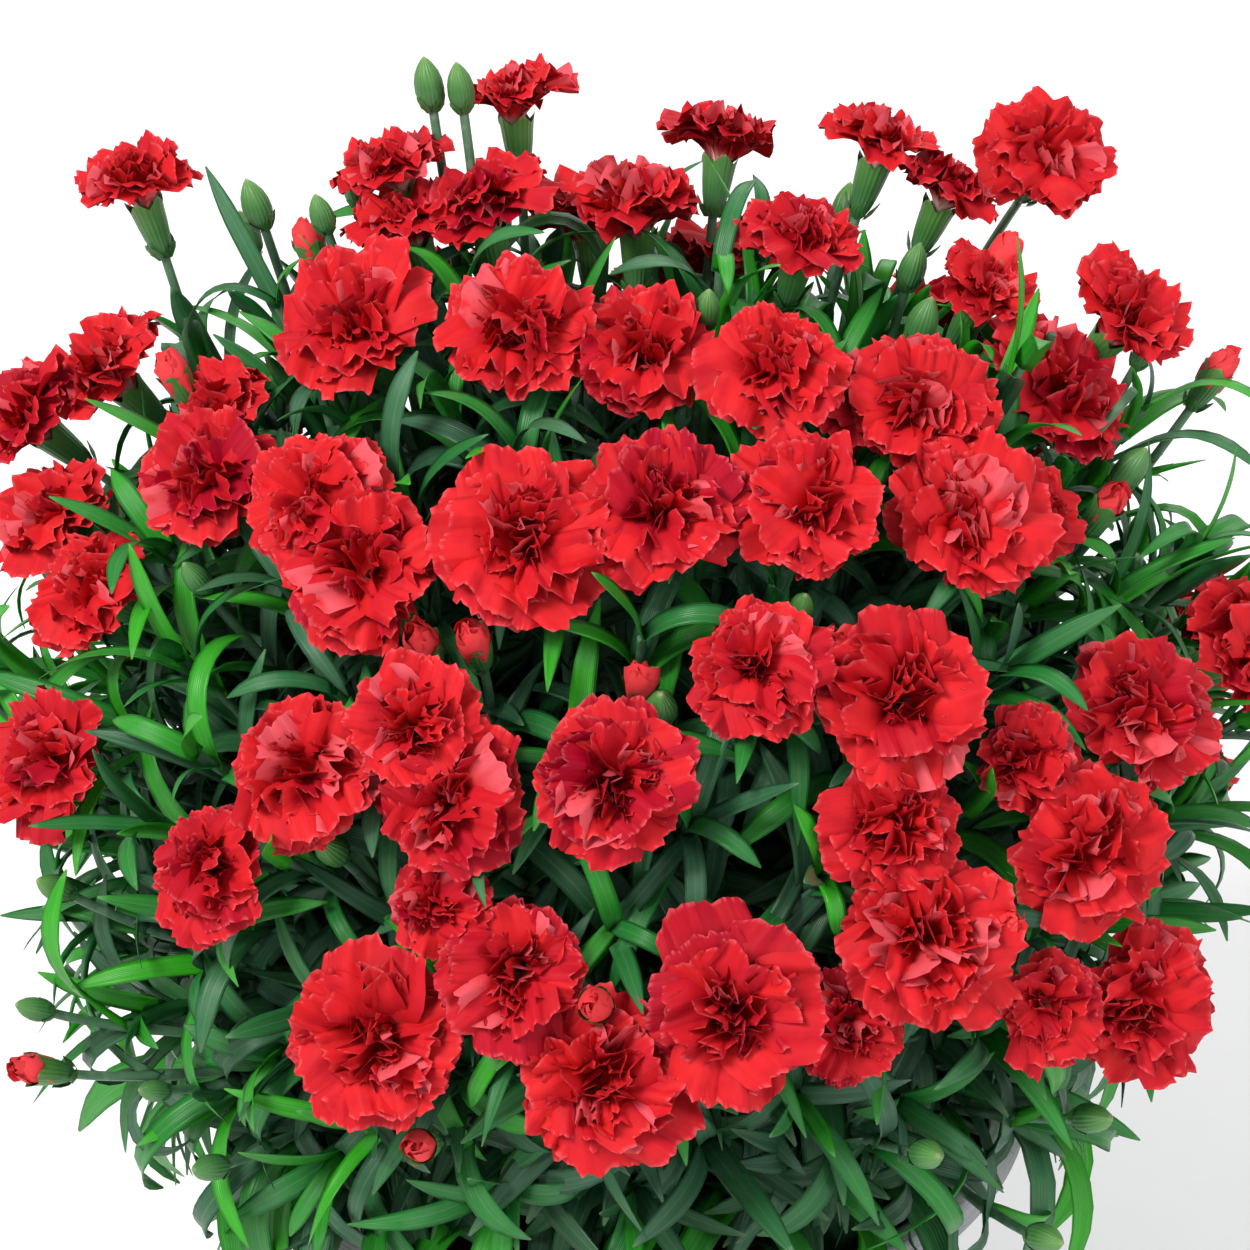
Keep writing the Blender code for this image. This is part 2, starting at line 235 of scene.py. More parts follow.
def new_tree(name, inputs):
    """A tree that takes a geometry, the given inputs and a material, and the sockets of these."""
    tree = bpy.data.node_groups.new(name, "GeometryNodeTree")
    for label, kind, value in (("Geometry", "NodeSocketGeometry", None), *inputs,
                               ("Material", "NodeSocketMaterial", None)):
        socket = tree.interface.new_socket(label, in_out="INPUT", socket_type=kind)
        if value is not None:
            socket.default_value = value
    tree.interface.new_socket("Geometry", in_out="OUTPUT", socket_type="NodeSocketGeometry")
    return tree, add_node(tree, "NodeGroupInput").outputs


def end_tree(tree, given, geometry):
    """Ends a tree: its instances become real and the whole takes the material."""
    real = add_node(tree, "GeometryNodeRealizeInstances", {"Geometry": geometry})
    paint = add_node(tree, "GeometryNodeSetMaterial", {"Geometry": real.outputs["Geometry"],
                                                       "Material": given["Material"]})
    add_node(tree, "NodeGroupOutput", {"Geometry": paint.outputs["Geometry"]})
    return tree


def attribute_in(tree, name, data_type):
    node = add_node(tree, "GeometryNodeInputNamedAttribute", {"Name": name}, data_type=data_type)
    return node.outputs["Attribute"]


def instances_of(tree, collection):
    """A collection's objects one by one, each at its own origin."""
    node = add_node(tree, "GeometryNodeCollectionInfo", {
        "Collection": collection, "Separate Children": True, "Reset Children": True})
    return node.outputs["Instances"]


def use_tree(carrier, tree, values):
    """Adds the tree to a carrier as a modifier and sets its inputs by their identifiers."""
    modifier = carrier.modifiers.new(tree.name, "NODES")
    modifier.node_group = tree
    for item in tree.interface.items_tree:
        if item.in_out == "INPUT" and item.name in values:
            modifier[item.identifier] = values[item.name]


def kept_tree(name, build):
    """A tree that many pieces share, built the first time."""
    return bpy.data.node_groups.get(name) or build(name)


def places_tree(name):
    """Stands one of several kinds on each place, turned and sized by the place's attributes."""
    tree, given = new_tree(name, (("Kinds", "NodeSocketCollection", None),))
    stand = add_node(tree, "GeometryNodeInstanceOnPoints", {
        "Points": given["Geometry"], "Instance": instances_of(tree, given["Kinds"]),
        "Pick Instance": True, "Instance Index": attribute_in(tree, "kind", "INT"),
        "Rotation": attribute_in(tree, "turn", "QUATERNION"),
        "Scale": attribute_in(tree, "size", "FLOAT_VECTOR")})
    return end_tree(tree, given, stand.outputs["Instances"])


def stalks_tree(name):
    """Gives paths of edges a round section whose radius follows the attribute thick."""
    tree, given = new_tree(name, (("Sides", "NodeSocketInt", 8),))
    path = add_node(tree, "GeometryNodeMeshToCurve", {"Mesh": given["Geometry"]})
    ring = add_node(tree, "GeometryNodeCurvePrimitiveCircle", {
        "Resolution": given["Sides"], "Radius": 1.0}, mode="RADIUS")
    sweep = add_node(tree, "GeometryNodeCurveToMesh", {
        "Curve": path.outputs["Curve"], "Profile Curve": ring.outputs["Curve"],
        "Scale": attribute_in(tree, "thick", "FLOAT"), "Fill Caps": True})
    shade = add_node(tree, "GeometryNodeSetShadeSmooth", {"Geometry": sweep.outputs["Mesh"]})
    return end_tree(tree, given, shade.outputs["Geometry"])


def stand_kinds(name, places, kinds, material):
    """One piece from places: (position, rotation, size vector, kind number, tone)."""
    mesh = bpy.data.meshes.new(name + "_places")
    mesh.from_pydata([tuple(p[0]) for p in places], [], [])
    columns = (
        ("turn", "QUATERNION", [tuple(p[1]) for p in places]),
        ("size", "FLOAT_VECTOR", [tuple(p[2]) for p in places]),
        ("kind", "INT", [p[3] for p in places]),
        ("tone", "FLOAT", [p[4] for p in places]),
    )
    for label, data_type, values in columns:
        attribute = mesh.attributes.new(label, data_type, "POINT")
        field = "vector" if data_type == "FLOAT_VECTOR" else "value"
        attribute.data.foreach_set(field, np.asarray(values).ravel())
    carrier = link(bpy.data.objects.new(name + "_places", mesh))
    use_tree(carrier, kept_tree("Pieces on places", places_tree),
             {"Kinds": kinds, "Material": material})
    return finished(carrier, name)


def kinds_collection(name, objects):
    collection = bpy.data.collections.new(name)
    bpy.context.scene.collection.children.link(collection)
    for obj in objects:
        collection.objects.link(obj)
    return collection


def drop_kinds(collection):
    for obj in list(collection.objects):
        bpy.data.objects.remove(obj, do_unlink=True)
    bpy.data.collections.remove(collection)


# ---------------------------------------------------------------- materials

# Fixed colours of small marks; the main colours are settings
PETAL_STREAK = (0.74, 0.022, 0.030)
PETAL_FOOT = (0.55, 0.62, 0.34)
PETAL_NECK = (0.80, 0.16, 0.16)
PETAL_FRAY = (0.80, 0.14, 0.16)
LEAF_RIB = (0.16, 0.34, 0.16)
LEAF_WAX = (0.26, 0.38, 0.32)
LEAF_TIP = (0.20, 0.32, 0.12)
STEM_WAX = (0.35, 0.46, 0.36)
CALYX_TOP = (0.10, 0.27, 0.05)
CALYX_TEETH = (0.42, 0.40, 0.22)
CALYX_DEEP = (0.035, 0.17, 0.06)
CALYX_RIB = (0.09, 0.25, 0.06)
POT_FINE = (0.50, 0.51, 0.52)
POT_STAIN = (0.17, 0.18, 0.18)
POT_WORN = (0.62, 0.63, 0.64)
SOIL_FIBRE = (0.14, 0.09, 0.055)
CALYX_RIBS = 20
WORN_LIP = 0.003

# The colour sockets of a Mix node have the same names as its other ones, so they go by number
MIX_INPUTS = (0, 6, 7)
MIX_OUTPUT = 2


class Paint:
    """A Principled material and short calls for its nodes."""

    def __init__(self, name, roughness):
        self.material = bpy.data.materials.new(name)
        self.material.use_nodes = True
        self.tree = self.material.node_tree
        self.shader = self.tree.nodes["Principled BSDF"]
        self.set(Roughness=roughness)

    def node(self, kind, fed=(), **settings):
        return add_node(self.tree, kind, fed, **settings)

    def set(self, **values):
        """Feeds the shader's inputs; a blank in a name is written as an underscore."""
        for key, value in values.items():
            feed(self.tree, self.shader.inputs[key.replace("_", " ")], value)

    def maths(self, operation, *values):
        return self.node("ShaderNodeMath", enumerate(values), operation=operation).outputs[0]

    def times(self, first, second):
        return self.maths("MULTIPLY", first, second)

    def mix(self, factor, first, second):
        fed = zip(MIX_INPUTS, (factor, first, second))
        return self.node("ShaderNodeMix", fed, data_type="RGBA").outputs[MIX_OUTPUT]

    def lay(self, body, colour, mask, amount):
        """Lays a colour over the body where the mask is full, at most by the amount."""
        return self.mix(self.times(mask, amount), body, colour)

    def ramp(self, factor, stops):
        node = self.node("ShaderNodeValToRGB", {0: factor})
        elements = node.color_ramp.elements
        while len(elements) < len(stops):
            elements.new(0.5)
        for element, (position, colour) in zip(elements, stops):
            element.position = position
            element.color = (*colour, 1.0)
        return node.outputs["Color"]

    def smooth_step(self, value, low, high):
        node = self.node("ShaderNodeMapRange", {"Value": value, "From Min": low, "From Max": high},
                         interpolation_type="SMOOTHSTEP")
        return node.outputs["Result"]

    def noise(self, vector, scale, detail):
        fed = {"Vector": vector, "Scale": scale, "Detail": detail}
        return self.node("ShaderNodeTexNoise", fed).outputs["Fac"]

    def parts(self, vector):
        return self.node("ShaderNodeSeparateXYZ", {0: vector}).outputs

    def position(self, stretch=(1.0, 1.0, 1.0)):
        place = self.node("ShaderNodeTexCoord").outputs["Object"]
        return self.node("ShaderNodeMapping", {"Vector": place, "Scale": stretch}).outputs["Vector"]

    def blade(self):
        """Across and along a petal or leaf, from its own UV map."""
        parts = self.parts(self.node("ShaderNodeUVMap", uv_map="UVMap").outputs["UV"])
        return parts["X"], parts["Y"]

    def tone(self):
        return self.node("ShaderNodeAttribute", attribute_name="tone").outputs["Fac"]

    def streaks(self, across, along, tone, scale):
        """Noise drawn out along the blade, by how often it changes each way and with the tone."""
        sources = zip((*self.blade(), self.tone()), (across, along, tone))
        fed = enumerate([self.times(source, often) for source, often in sources])
        return self.noise(self.node("ShaderNodeCombineXYZ", fed).outputs[0], scale, 3.0)

    def bump(self, height, strength, distance):
        fed = {"Height": height, "Strength": strength, "Distance": distance}
        self.set(Normal=self.node("ShaderNodeBump", fed).outputs["Normal"])


def petal_paint(settings):
    """Ruffled petal: pale claw, red blade with fine streaks along it and a lighter frayed edge.
    Petals of full tone are pinkish, as seen from their paler backs."""
    paint = Paint("petal_red", 0.60)
    _, along = paint.blade()
    tone = paint.tone()
    streaks = paint.streaks(26.0, 1.4, 40.0, 1.0)
    clouds = paint.noise(paint.position(), 170.0, 2.0)
    # Painted shade: petals of low tone and cloudy patches take the shaded red, the others the lit
    # red
    deep = settings.petal_shade
    body = paint.mix(paint.smooth_step(tone, 0.1, 0.8), deep, settings.petal_colour)
    shaded = paint.mix(paint.smooth_step(clouds, 0.40, 0.70), body, deep)
    body = paint.mix(0.35, body, shaded)
    ends = paint.times(paint.smooth_step(along, 0.50, 0.95), paint.smooth_step(clouds, 0.2, 0.5))
    body = paint.lay(body, settings.petal_back, paint.smooth_step(tone, 0.92, 1.0),
                     paint.times(ends, 0.75))
    body = paint.lay(body, PETAL_STREAK, paint.smooth_step(streaks, 0.50, 0.80), 0.22)
    claw = paint.ramp(along, ((0.0, PETAL_FOOT), (0.22, settings.petal_claw), (0.42, PETAL_NECK)))
    body = paint.mix(paint.smooth_step(along, 0.26, 0.50), claw, body)
    frayed = paint.times(paint.smooth_step(along, 0.95, 1.0),
                         paint.smooth_step(streaks, 0.40, 0.60))
    paint.bump(streaks, 0.30, 0.0004)
    paint.set(Base_Color=paint.lay(body, PETAL_FRAY, frayed, 0.45), Specular_IOR_Level=0.12,
              Subsurface_Weight=0.10, Subsurface_Radius=(0.004, 0.0006, 0.0006),
              Subsurface_Scale=0.5)
    return paint.material


def leaf_paint(settings):
    """Waxy blade: blue-green to fresh green, parallel veins, pale midrib and a patchy wax bloom."""
    paint = Paint("leaf_green", 0.42)
    across, along = paint.blade()
    tone = paint.tone()
    # Low tones, which leaves far inside the canopy get, paint shade with the darkest green
    body = paint.ramp(tone, ((0.0, settings.leaf_dark_and_shade), (0.32, settings.leaf_blue),
                             (0.65, settings.leaf_mid), (1.0, settings.leaf_fresh)))
    veins = paint.maths("SINE", paint.times(across, 75.0))
    streaks = paint.streaks(9.0, 2.0, 60.0, 1.5)
    body = paint.lay(body, settings.leaf_dark_and_shade, paint.smooth_step(streaks, 0.35, 0.7), 0.26)
    body = paint.lay(body, settings.leaf_fresh, paint.smooth_step(veins, -0.2, 1.0), 0.10)
    from_middle = paint.maths("ABSOLUTE", paint.maths("SUBTRACT", across, 0.5))
    rib = paint.maths("SUBTRACT", 1.0, paint.smooth_step(from_middle, 0.0, 0.07))
    body = paint.lay(body, LEAF_RIB, rib, 0.16)
    wax = paint.smooth_step(paint.noise(paint.position(), 90.0, 3.0), 0.48, 0.72)
    body = paint.lay(body, LEAF_WAX, wax, paint.times(paint.smooth_step(tone, 0.05, 0.5), 0.09))
    body = paint.lay(body, LEAF_TIP, paint.smooth_step(along, 0.93, 1.0), 0.22)
    paint.bump(paint.maths("ADD", paint.times(veins, 0.5), streaks), 0.25, 0.0003)
    paint.set(Base_Color=body, Roughness=paint.maths("MULTIPLY_ADD", wax, 0.18, 0.38),
              Specular_IOR_Level=0.32)
    return paint.material


def stem_paint(settings):
    """Smooth round stalk: grey-green with a patchy wax bloom and faint ribs along it."""
    paint = Paint("stem_green", 0.48)
    patches = paint.noise(paint.position((1.0, 1.0, 0.25)), 120.0, 3.0)
    body = paint.mix(paint.smooth_step(patches, 0.3, 0.7), settings.stem_dark, settings.stem_colour)
    wax = paint.smooth_step(paint.noise(paint.position(), 300.0, 2.0), 0.5, 0.75)
    paint.set(Base_Color=paint.lay(body, STEM_WAX, wax, 0.25))
    paint.bump(patches, 0.2, 0.0004)
    return paint.material


def calyx_paint(settings):
    """Green tube with fine ribs along it, paler at its foot and yellowish at the teeth."""
    paint = Paint("calyx_green", 0.45)
    around, along = paint.blade()
    ribs = paint.maths("SINE", paint.times(around, 2 * math.pi * CALYX_RIBS))
    body = paint.ramp(along, ((0.0, settings.stem_colour), (0.45, settings.calyx_colour),
                              (0.93, CALYX_TOP), (1.0, CALYX_TEETH)))
    body = paint.lay(body, CALYX_DEEP, paint.tone(), 0.45)
    body = paint.lay(body, CALYX_RIB, paint.smooth_step(ribs, -0.5, 1.0), 0.25)
    paint.set(Base_Color=body)
    paint.bump(ribs, 0.35, 0.0002)
    return paint.material


def pot_paint(settings):
    """Matt grey moulded wall with fine turned lines parallel to the rim, scuffed on the lip."""
    paint = Paint("pot_grey", 0.55)
    rings = paint.noise(paint.position((1.0, 1.0, 60.0)), 22.0, 6.0)
    fine = paint.noise(paint.position((1.0, 1.0, 22.0)), 160.0, 3.0)
    blotches = paint.noise(paint.position(), 26.0, 4.0)
    body = paint.mix(paint.smooth_step(rings, 0.32, 0.68), settings.pot_dark, settings.pot_colour)
    body = paint.lay(body, POT_FINE, paint.smooth_step(fine, 0.45, 0.75), 0.35)
    body = paint.lay(body, POT_STAIN, paint.smooth_step(blotches, 0.5, 0.8), 0.25)
    lip = paint.smooth_step(paint.parts(paint.position())["Z"], RIM_HEIGHT - WORN_LIP, RIM_HEIGHT)
    worn = paint.times(lip, paint.smooth_step(fine, 0.35, 0.6))
    paint.set(Base_Color=paint.lay(body, POT_WORN, worn, 0.5),
              Roughness=paint.maths("MULTIPLY_ADD", fine, 0.25, 0.40))
    paint.bump(paint.maths("ADD", rings, fine), 0.30, 0.0004)
    return paint.material


def soil_paint(settings):
    """Dark peat mix: brown crumbs with lighter fibres."""
    paint = Paint("potting_soil", 0.92)
    crumbs = paint.noise(paint.position(), 420.0, 6.0)
    clods = paint.noise(paint.position(), 90.0, 4.0)
    body = paint.mix(paint.smooth_step(crumbs, 0.35, 0.7), settings.soil_dark, settings.soil_colour)
    paint.set(Base_Color=paint.lay(body, SOIL_FIBRE, paint.smooth_step(clods, 0.55, 0.8), 0.5))
    paint.bump(paint.maths("ADD", crumbs, clods), 0.8, 0.002)
    return paint.material


# ---------------------------------------------------------------- the plant's plan

# Small blooms lean to the front and up, less towards the sides and not at all at the back
TOWARDS_LIGHT = Vector((0.0, -0.8, 0.6)) * 0.35
FULL_BLOOM = 38 * MM
STALK_STEPS = 24
STALK_THICK = 1.15 * MM
STALK_SWAY_MM = 5
CROWN_RADIUS_MM = 14
LEAF_EVERY = 4
CALYX_SPAN = 17 * MM
CALYX_WIDTH = 8.4 * MM
CALYX_RISE = 0.17
CALYX_OVERLAP = 2.0 * MM
RED_BUD_HEAD = 22 * MM
RED_BUD_CALYX = 13 * MM
GREEN_BUD = 13 * MM
RED_BUD = 18 * MM
BUD_ROOM = 1.1

# Long leafy shoots that stand out at the sides: azimuth, rise, distance outside the dome (mm)
SPRAYS = (
    (78, 58, 4), (84, 50, 14), (92, 56, 8), (88, 36, 0), (96, 28, 2), (84, 22, -2),
    (-84, 26, -2), (-92, 18, -2), (-96, 34, -4), (100, 44, 6), (130, 24, -4), (-130, 24, -4),
    (-160, 30, -6), (180, 46, -6), (-100, 60, 2), (-112, 48, 0),
)

# Leafy shoots between the flowers: lowest and highest rise, distance outside the dome (mm), how
# much deeper the low ones stay (mm) and the rise from which none does
FILLER_RISE = (-5, 84)
FILLER_LIFT = (-26.0, -8.0)
FILLER_TUCK = 26.0
FILLER_FREE = 34.0
GOLDEN_ANGLE = 180.0 * (3.0 - math.sqrt(5.0))

# The pot's foot as a share of its rim, the room kept on both sides of its wall and round its lip,
# how low leaves hang and how far they may leave the frame's box
FOOT_SHARE = 0.54
WALL_INSIDE = 10 * MM
WALL_OUTSIDE = 4 * MM
LIP_DEPTH = 14 * MM
LIP_SPARE = 1.5 * MM
LOWEST_LEAF = SOIL_TOP - 60 * MM
BOX_SPARE_SHARE = 0.03
BOX_SPARE = 8 * MM

# How far foliage reaches from the axis at the rim's height, and its slopes above and below the rim
SKIRT_REACH = 0.136
REACH_ABOVE = 0.42
REACH_BELOW = 0.30

# What leaves keep out of, in shares of a head's diameter along and across its facing
NECK_FROM = 0.05
FACE_FROM = 0.26
FACE_TO = 1.00
NECK_WIDE = 0.16
FACE_WIDE = 0.44


def shared_corners(obj):
    """A frame node's corners merged by place, and its triangles' numbers among them."""
    mesh = obj.data
    points = np.empty(len(mesh.vertices) * 3)
    mesh.vertices.foreach_get("co", points)
    corners = np.empty(len(mesh.loops), dtype=np.int64)
    mesh.loops.foreach_get("vertex_index", corners)
    points, place = np.unique(np.round(points.reshape(-1, 3), 6), axis=0, return_inverse=True)
    triangles = place.ravel()[corners].reshape(-1, 3)
    return points, triangles


def head_of(node):
    """Foot, facing and diameter of a flower head, from the two poles of its frame node."""
    points, triangles = shared_corners(frame["nodes"][node])
    meeting = np.bincount(triangles.ravel(), minlength=len(points))
    poles = np.argsort(meeting)[-2:]
    spreads = []
    for pole in poles:
        fan = triangles[(triangles == pole).any(axis=1)]
        ring = np.setdiff1d(np.unique(fan), (pole,))
        spreads.append(np.linalg.norm(points[ring] - points[pole], axis=1).mean())
    foot, face = (Vector(points[poles[k]]) for k in np.argsort(spreads))
    diameter = (face - foot).length / (HEAD_FOOT + HEAD_FACE)
    return foot, (face - foot).normalized(), diameter


def blooms_in_frame():
    names = sorted(name for name in frame["nodes"] if name.startswith("bloom_"))
    return [(name, *head_of(name)) for name in names]


def extra_heads():
    heads = []
    for number, (azimuth, rise, lift_mm, diameter_mm) in enumerate(EXTRA_BLOOMS):
        centre, ray = dome_place(azimuth, rise, lift_mm)
        light = TOWARDS_LIGHT * (1.0 + math.cos(math.radians(azimuth)))
        facing = (ray + light).normalized()
        diameter = diameter_mm * MM
        heads.append((f"small_bloom_{number + 1:02d}", centre - facing * HEAD_FOOT * diameter,
                      facing, diameter))
    return heads


def buds_of(rows, length):
    """Buds as (foot, facing, length), each at its place on the canopy."""
    buds = []
    for azimuth, rise, lift_mm in rows:
        tip, ray = dome_place(azimuth, rise, lift_mm)
        facing = (ray + UP * 0.5).normalized()
        buds.append((tip - facing * length, facing, length))
    return buds


def bend_to(root, foot, facing, share):
    """A point on one smooth bend that leaves the crown upwards and arrives along the facing."""
    reach = (foot - root).length
    lift = root + (UP * 0.75 + (foot - root).normalized() * 0.25) * reach * 0.35
    arrive = foot - facing * reach * 0.40
    a, b, c = root.lerp(lift, share), lift.lerp(arrive, share), arrive.lerp(foot, share)
    return a.lerp(b, share).lerp(b.lerp(c, share), share)


def crown_root(point, chance):
    """A stalk's root: in the crown of the shoot whose sector the point is over."""
    number = sector_of(point)
    crown = outward(number * SECTOR) * CROWN_CIRCLE
    angle = chance.uniform(0.0, 2 * math.pi)
    spread = chance.uniform(0.2, 1.0) * CROWN_RADIUS_MM * MM
    root = crown + Vector((math.cos(angle), math.sin(angle), 0.0)) * spread + UP * CROWN_TOP
    return number, root


def smooth(value, low, high):
    """0 below low, 1 above high and a smooth step between them."""
    share = np.clip((value - low) / (high - low), 0.0, 1.0)
    return share * share * (3.0 - 2.0 * share)


def running_sum(steps):
    return np.concatenate(([0.0], np.cumsum(steps)))


def foliage_reach(height):
    """How far from the axis foliage spreads at a height: it narrows towards and below the rim."""
    above = height - RIM_HEIGHT
    return SKIRT_REACH + np.where(above > 0.0, REACH_ABOVE, REACH_BELOW) * above


class Room:
    """Where a leaf may run: near the frame's box, clear of the pot's wall and the flower heads."""

    def __init__(self, heads):
        low, high = (np.array(corner) for corner in CAD_BOX)
        spare = BOX_SPARE_SHARE * (high - low) + BOX_SPARE
        self.low, self.high = low - spare, high + spare
        self.feet = np.array([tuple(head[1]) for head in heads])
        self.facings = np.array([tuple(head[2]) for head in heads])
        self.diameters = np.array([head[3] for head in heads])

    def free(self, points, stray=False):
        """True if a leaf can run through the points; a stray one may leave the outline."""
        if (points < self.low).any() or (points > self.high).any():
            return False
        radius = np.hypot(points[:, 0], points[:, 1])
        height = points[:, 2]
        if not stray and (radius > foliage_reach(height)).any():
            return False
        wall = RIM_RADIUS * (FOOT_SHARE + (1.0 - FOOT_SHARE) * height / RIM_HEIGHT)
        outside = np.where(height > RIM_HEIGHT - LIP_DEPTH, RIM_RADIUS + LIP_SPARE,
                           wall + WALL_OUTSIDE)
        in_pot = height < RIM_HEIGHT + LIP_SPARE
        in_wall = in_pot & (radius > wall - WALL_INSIDE) & (radius < outside)
        if in_wall.any() or (height < LOWEST_LEAF).any():
            return False
        offset = points[:, None, :] - self.feet[None, :, :]
        along = (offset * self.facings).sum(axis=2)
        across = np.sqrt(np.maximum((offset ** 2).sum(axis=2) - along ** 2, 0.0))
        along, across = along / self.diameters, across / self.diameters
        in_face = (along > FACE_FROM) & (along < FACE_TO) & (across < FACE_WIDE)
        in_neck = (along > NECK_FROM) & (along <= FACE_FROM) & (across < NECK_WIDE)
        return not (in_face | in_neck).any()


class Plan:
    """Every bloom, calyx, bud and stalk of the plant, worked out once from the frame."""

    def __init__(self, settings):
        chance = random.Random(settings.seed)
        self.heads = blooms_in_frame()
        self.small_heads = extra_heads()
        self.green_buds = buds_of(GREEN_BUDS, GREEN_BUD)
        self.red_buds = buds_of(RED_BUDS, RED_BUD)
        self.room = Room(self.heads + self.small_heads
                         + [("bud", foot, facing, BUD_ROOM * length)
                            for foot, facing, length in self.green_buds + self.red_buds])
        self.calyxes = []
        self.stalks = []
        for _, foot, facing, diameter in self.heads + self.small_heads:
            span = CALYX_SPAN * (0.55 + 0.45 * diameter / FULL_BLOOM)
            start = foot - facing * (span - diameter * CALYX_RISE)
            self.calyxes.append((start, facing, span))
            self.add_stalk(start + facing * CALYX_OVERLAP, facing, chance)
        for foot, facing, _ in self.red_buds:
            self.calyxes.append((foot, facing, RED_BUD_CALYX))
            self.add_stalk(foot + facing * CALYX_OVERLAP, facing, chance)
        for foot, facing, _ in self.green_buds:
            self.add_stalk(foot + facing * CALYX_OVERLAP, facing, chance)
        for azimuth, rise, lift_mm in SPRAYS:
            tip, ray = dome_place(azimuth, rise, lift_mm)
            self.add_stalk(tip, (ray + UP * 0.3).normalized(), chance, True)
        self.add_fillers(settings.leafy_shoots, chance)

    def add_fillers(self, wanted, chance):
        """Leafy shoots without a flower, spread evenly where no head is in the way."""
        low, high = (math.sin(math.radians(rise)) for rise in FILLER_RISE)
        for number in range(wanted):
            rise = math.degrees(math.asin(low + (high - low) * (number + 0.5) / wanted))
            tuck = FILLER_TUCK * (1.0 - float(smooth(rise, FILLER_RISE[0], FILLER_FREE)))
            tip, ray = dome_place(number * GOLDEN_ANGLE, rise, chance.uniform(*FILLER_LIFT) - tuck)
            if self.room.free(np.array([tuple(tip)])):
                self.add_stalk(tip, (ray + UP * 0.35).normalized(), chance, True)

    def add_stalk(self, foot, facing, chance, leafy=False):
        number, root = crown_root(foot, chance)
        points = [bend_to(root, foot, facing, k / STALK_STEPS) for k in range(STALK_STEPS + 1)]
        sway = Vector((chance.uniform(-1, 1), chance.uniform(-1, 1), 0.0)) * STALK_SWAY_MM * MM
        points = [p + sway * math.sin(math.pi * k / STALK_STEPS) for k, p in enumerate(points)]
        self.stalks.append((number, points, leafy))


@functools.cache
def plan():
    return Plan(bpy.context.scene.carnation_plant)


# ---------------------------------------------------------------- settings

def colour_setting(name, description, value):
    return bpy.props.FloatVectorProperty(name=name, description=description, subtype="COLOR",
                                         size=3, default=value)


def length_setting(name, description, value):
    return bpy.props.FloatProperty(name=name, description=description, unit="LENGTH",
                                   default=value)


class CarnationPlant(bpy.types.PropertyGroup):
    seed: bpy.props.IntProperty(name="Seed", description="Seed of the plant's chance", default=11)
    leafy_shoots: bpy.props.IntProperty(name="Leafy shoots", description="Shoots without a flower",
                                        default=185, min=0)
    skirt_leaves: bpy.props.IntProperty(name="Skirt leaves", default=14, min=0,
                                        description="Leaves over the rim, per shoot")
    ruffle: bpy.props.FloatProperty(name="Ruffle", description="Depth of the petals' waves",
                                    default=1.0, min=0.0, max=2.0, subtype="FACTOR")
    # Petal and Petal shade are a lit and a shaded copy of one red; the shaded copy is painted shade
    petal_colour: colour_setting("Petal", "Lit red of the blade", (0.615, 0.0145, 0.019))
    petal_shade: colour_setting("Petal shade", "Deep crimson", (0.32, 0.0006, 0.018))
    petal_back: colour_setting("Petal back", "Pinkish back of a petal", (0.74, 0.12, 0.15))
    petal_claw: colour_setting("Claw", "Pale foot of a petal", (0.86, 0.50, 0.46))
    # Leaf shade is both the green of dark streaks and the painted shade of leaves far inside the
    # canopy
    leaf_dark_and_shade: colour_setting("Leaf shade", "Darkest leaf green", (0.016, 0.070, 0.030))
    leaf_blue: colour_setting("Leaf blue", "Waxy blue-green", (0.036, 0.110, 0.062))
    leaf_mid: colour_setting("Leaf", "Middle leaf green", (0.014, 0.170, 0.026))
    leaf_fresh: colour_setting("Fresh leaf", "Young yellow-green", (0.030, 0.340, 0.008))
    stem_colour: colour_setting("Stalk", "Grey-green of the stalks", (0.085, 0.20, 0.105))
    stem_dark: colour_setting("Stalk shade", "Darker stalk green", (0.035, 0.11, 0.055))
    calyx_colour: colour_setting("Calyx", "Green of the calyx tube", (0.036, 0.150, 0.026))


class CarnationPot(bpy.types.PropertyGroup):
    wall: length_setting("Wall", "Thickness of the pot's wall", 3.5 * MM)
    lip: length_setting("Lip", "Height of the band under the rim", 12 * MM)
    base_radius: length_setting("Base radius", "Outer radius of the foot", 57 * MM)
    pot_colour: colour_setting("Pot", "Light grey of the wall", (0.30, 0.31, 0.32))
    pot_dark: colour_setting("Pot lines", "Darker turned lines", (0.17, 0.18, 0.19))
    soil_colour: colour_setting("Soil", "Brown crumbs", (0.075, 0.048, 0.030))
    soil_dark: colour_setting("Wet soil", "Dark crumbs", (0.018, 0.012, 0.009))
    grains: bpy.props.IntProperty(name="Grains", description="Loose grains on the soil",
                                  default=1500)


class CarnationStudio(bpy.types.PropertyGroup):
    lens: bpy.props.FloatProperty(name="Lens", description="Focal length in millimetres",
                                  default=104.25)
    distance: length_setting("Distance", "Camera to the plant's middle", 0.95)
    tilt: bpy.props.FloatProperty(name="Tilt", description="Camera's height angle",
                                  default=math.radians(31), subtype="ANGLE")
    sky: bpy.props.FloatProperty(name="Sky", description="Strength of the white surround",
                                 default=0.62)
    key_power: bpy.props.FloatProperty(name="Key light", description="Power of the main lamp",
                                       default=34.0, unit="POWER")
    floor_colour: colour_setting("Floor", "Pale floor", (0.93, 0.93, 0.93))


# ---------------------------------------------------------------- pot and soil

POT_STEPS = 144
POT_FLOOR = 5 * MM
LIP_PROUD = 2.5 * MM
LIP_CREST = 2.2 * MM
LIP_ROUND = 1.2 * MM
LIP_TAPER = 0.3 * MM
FOOT_ROUND = 0.8 * MM


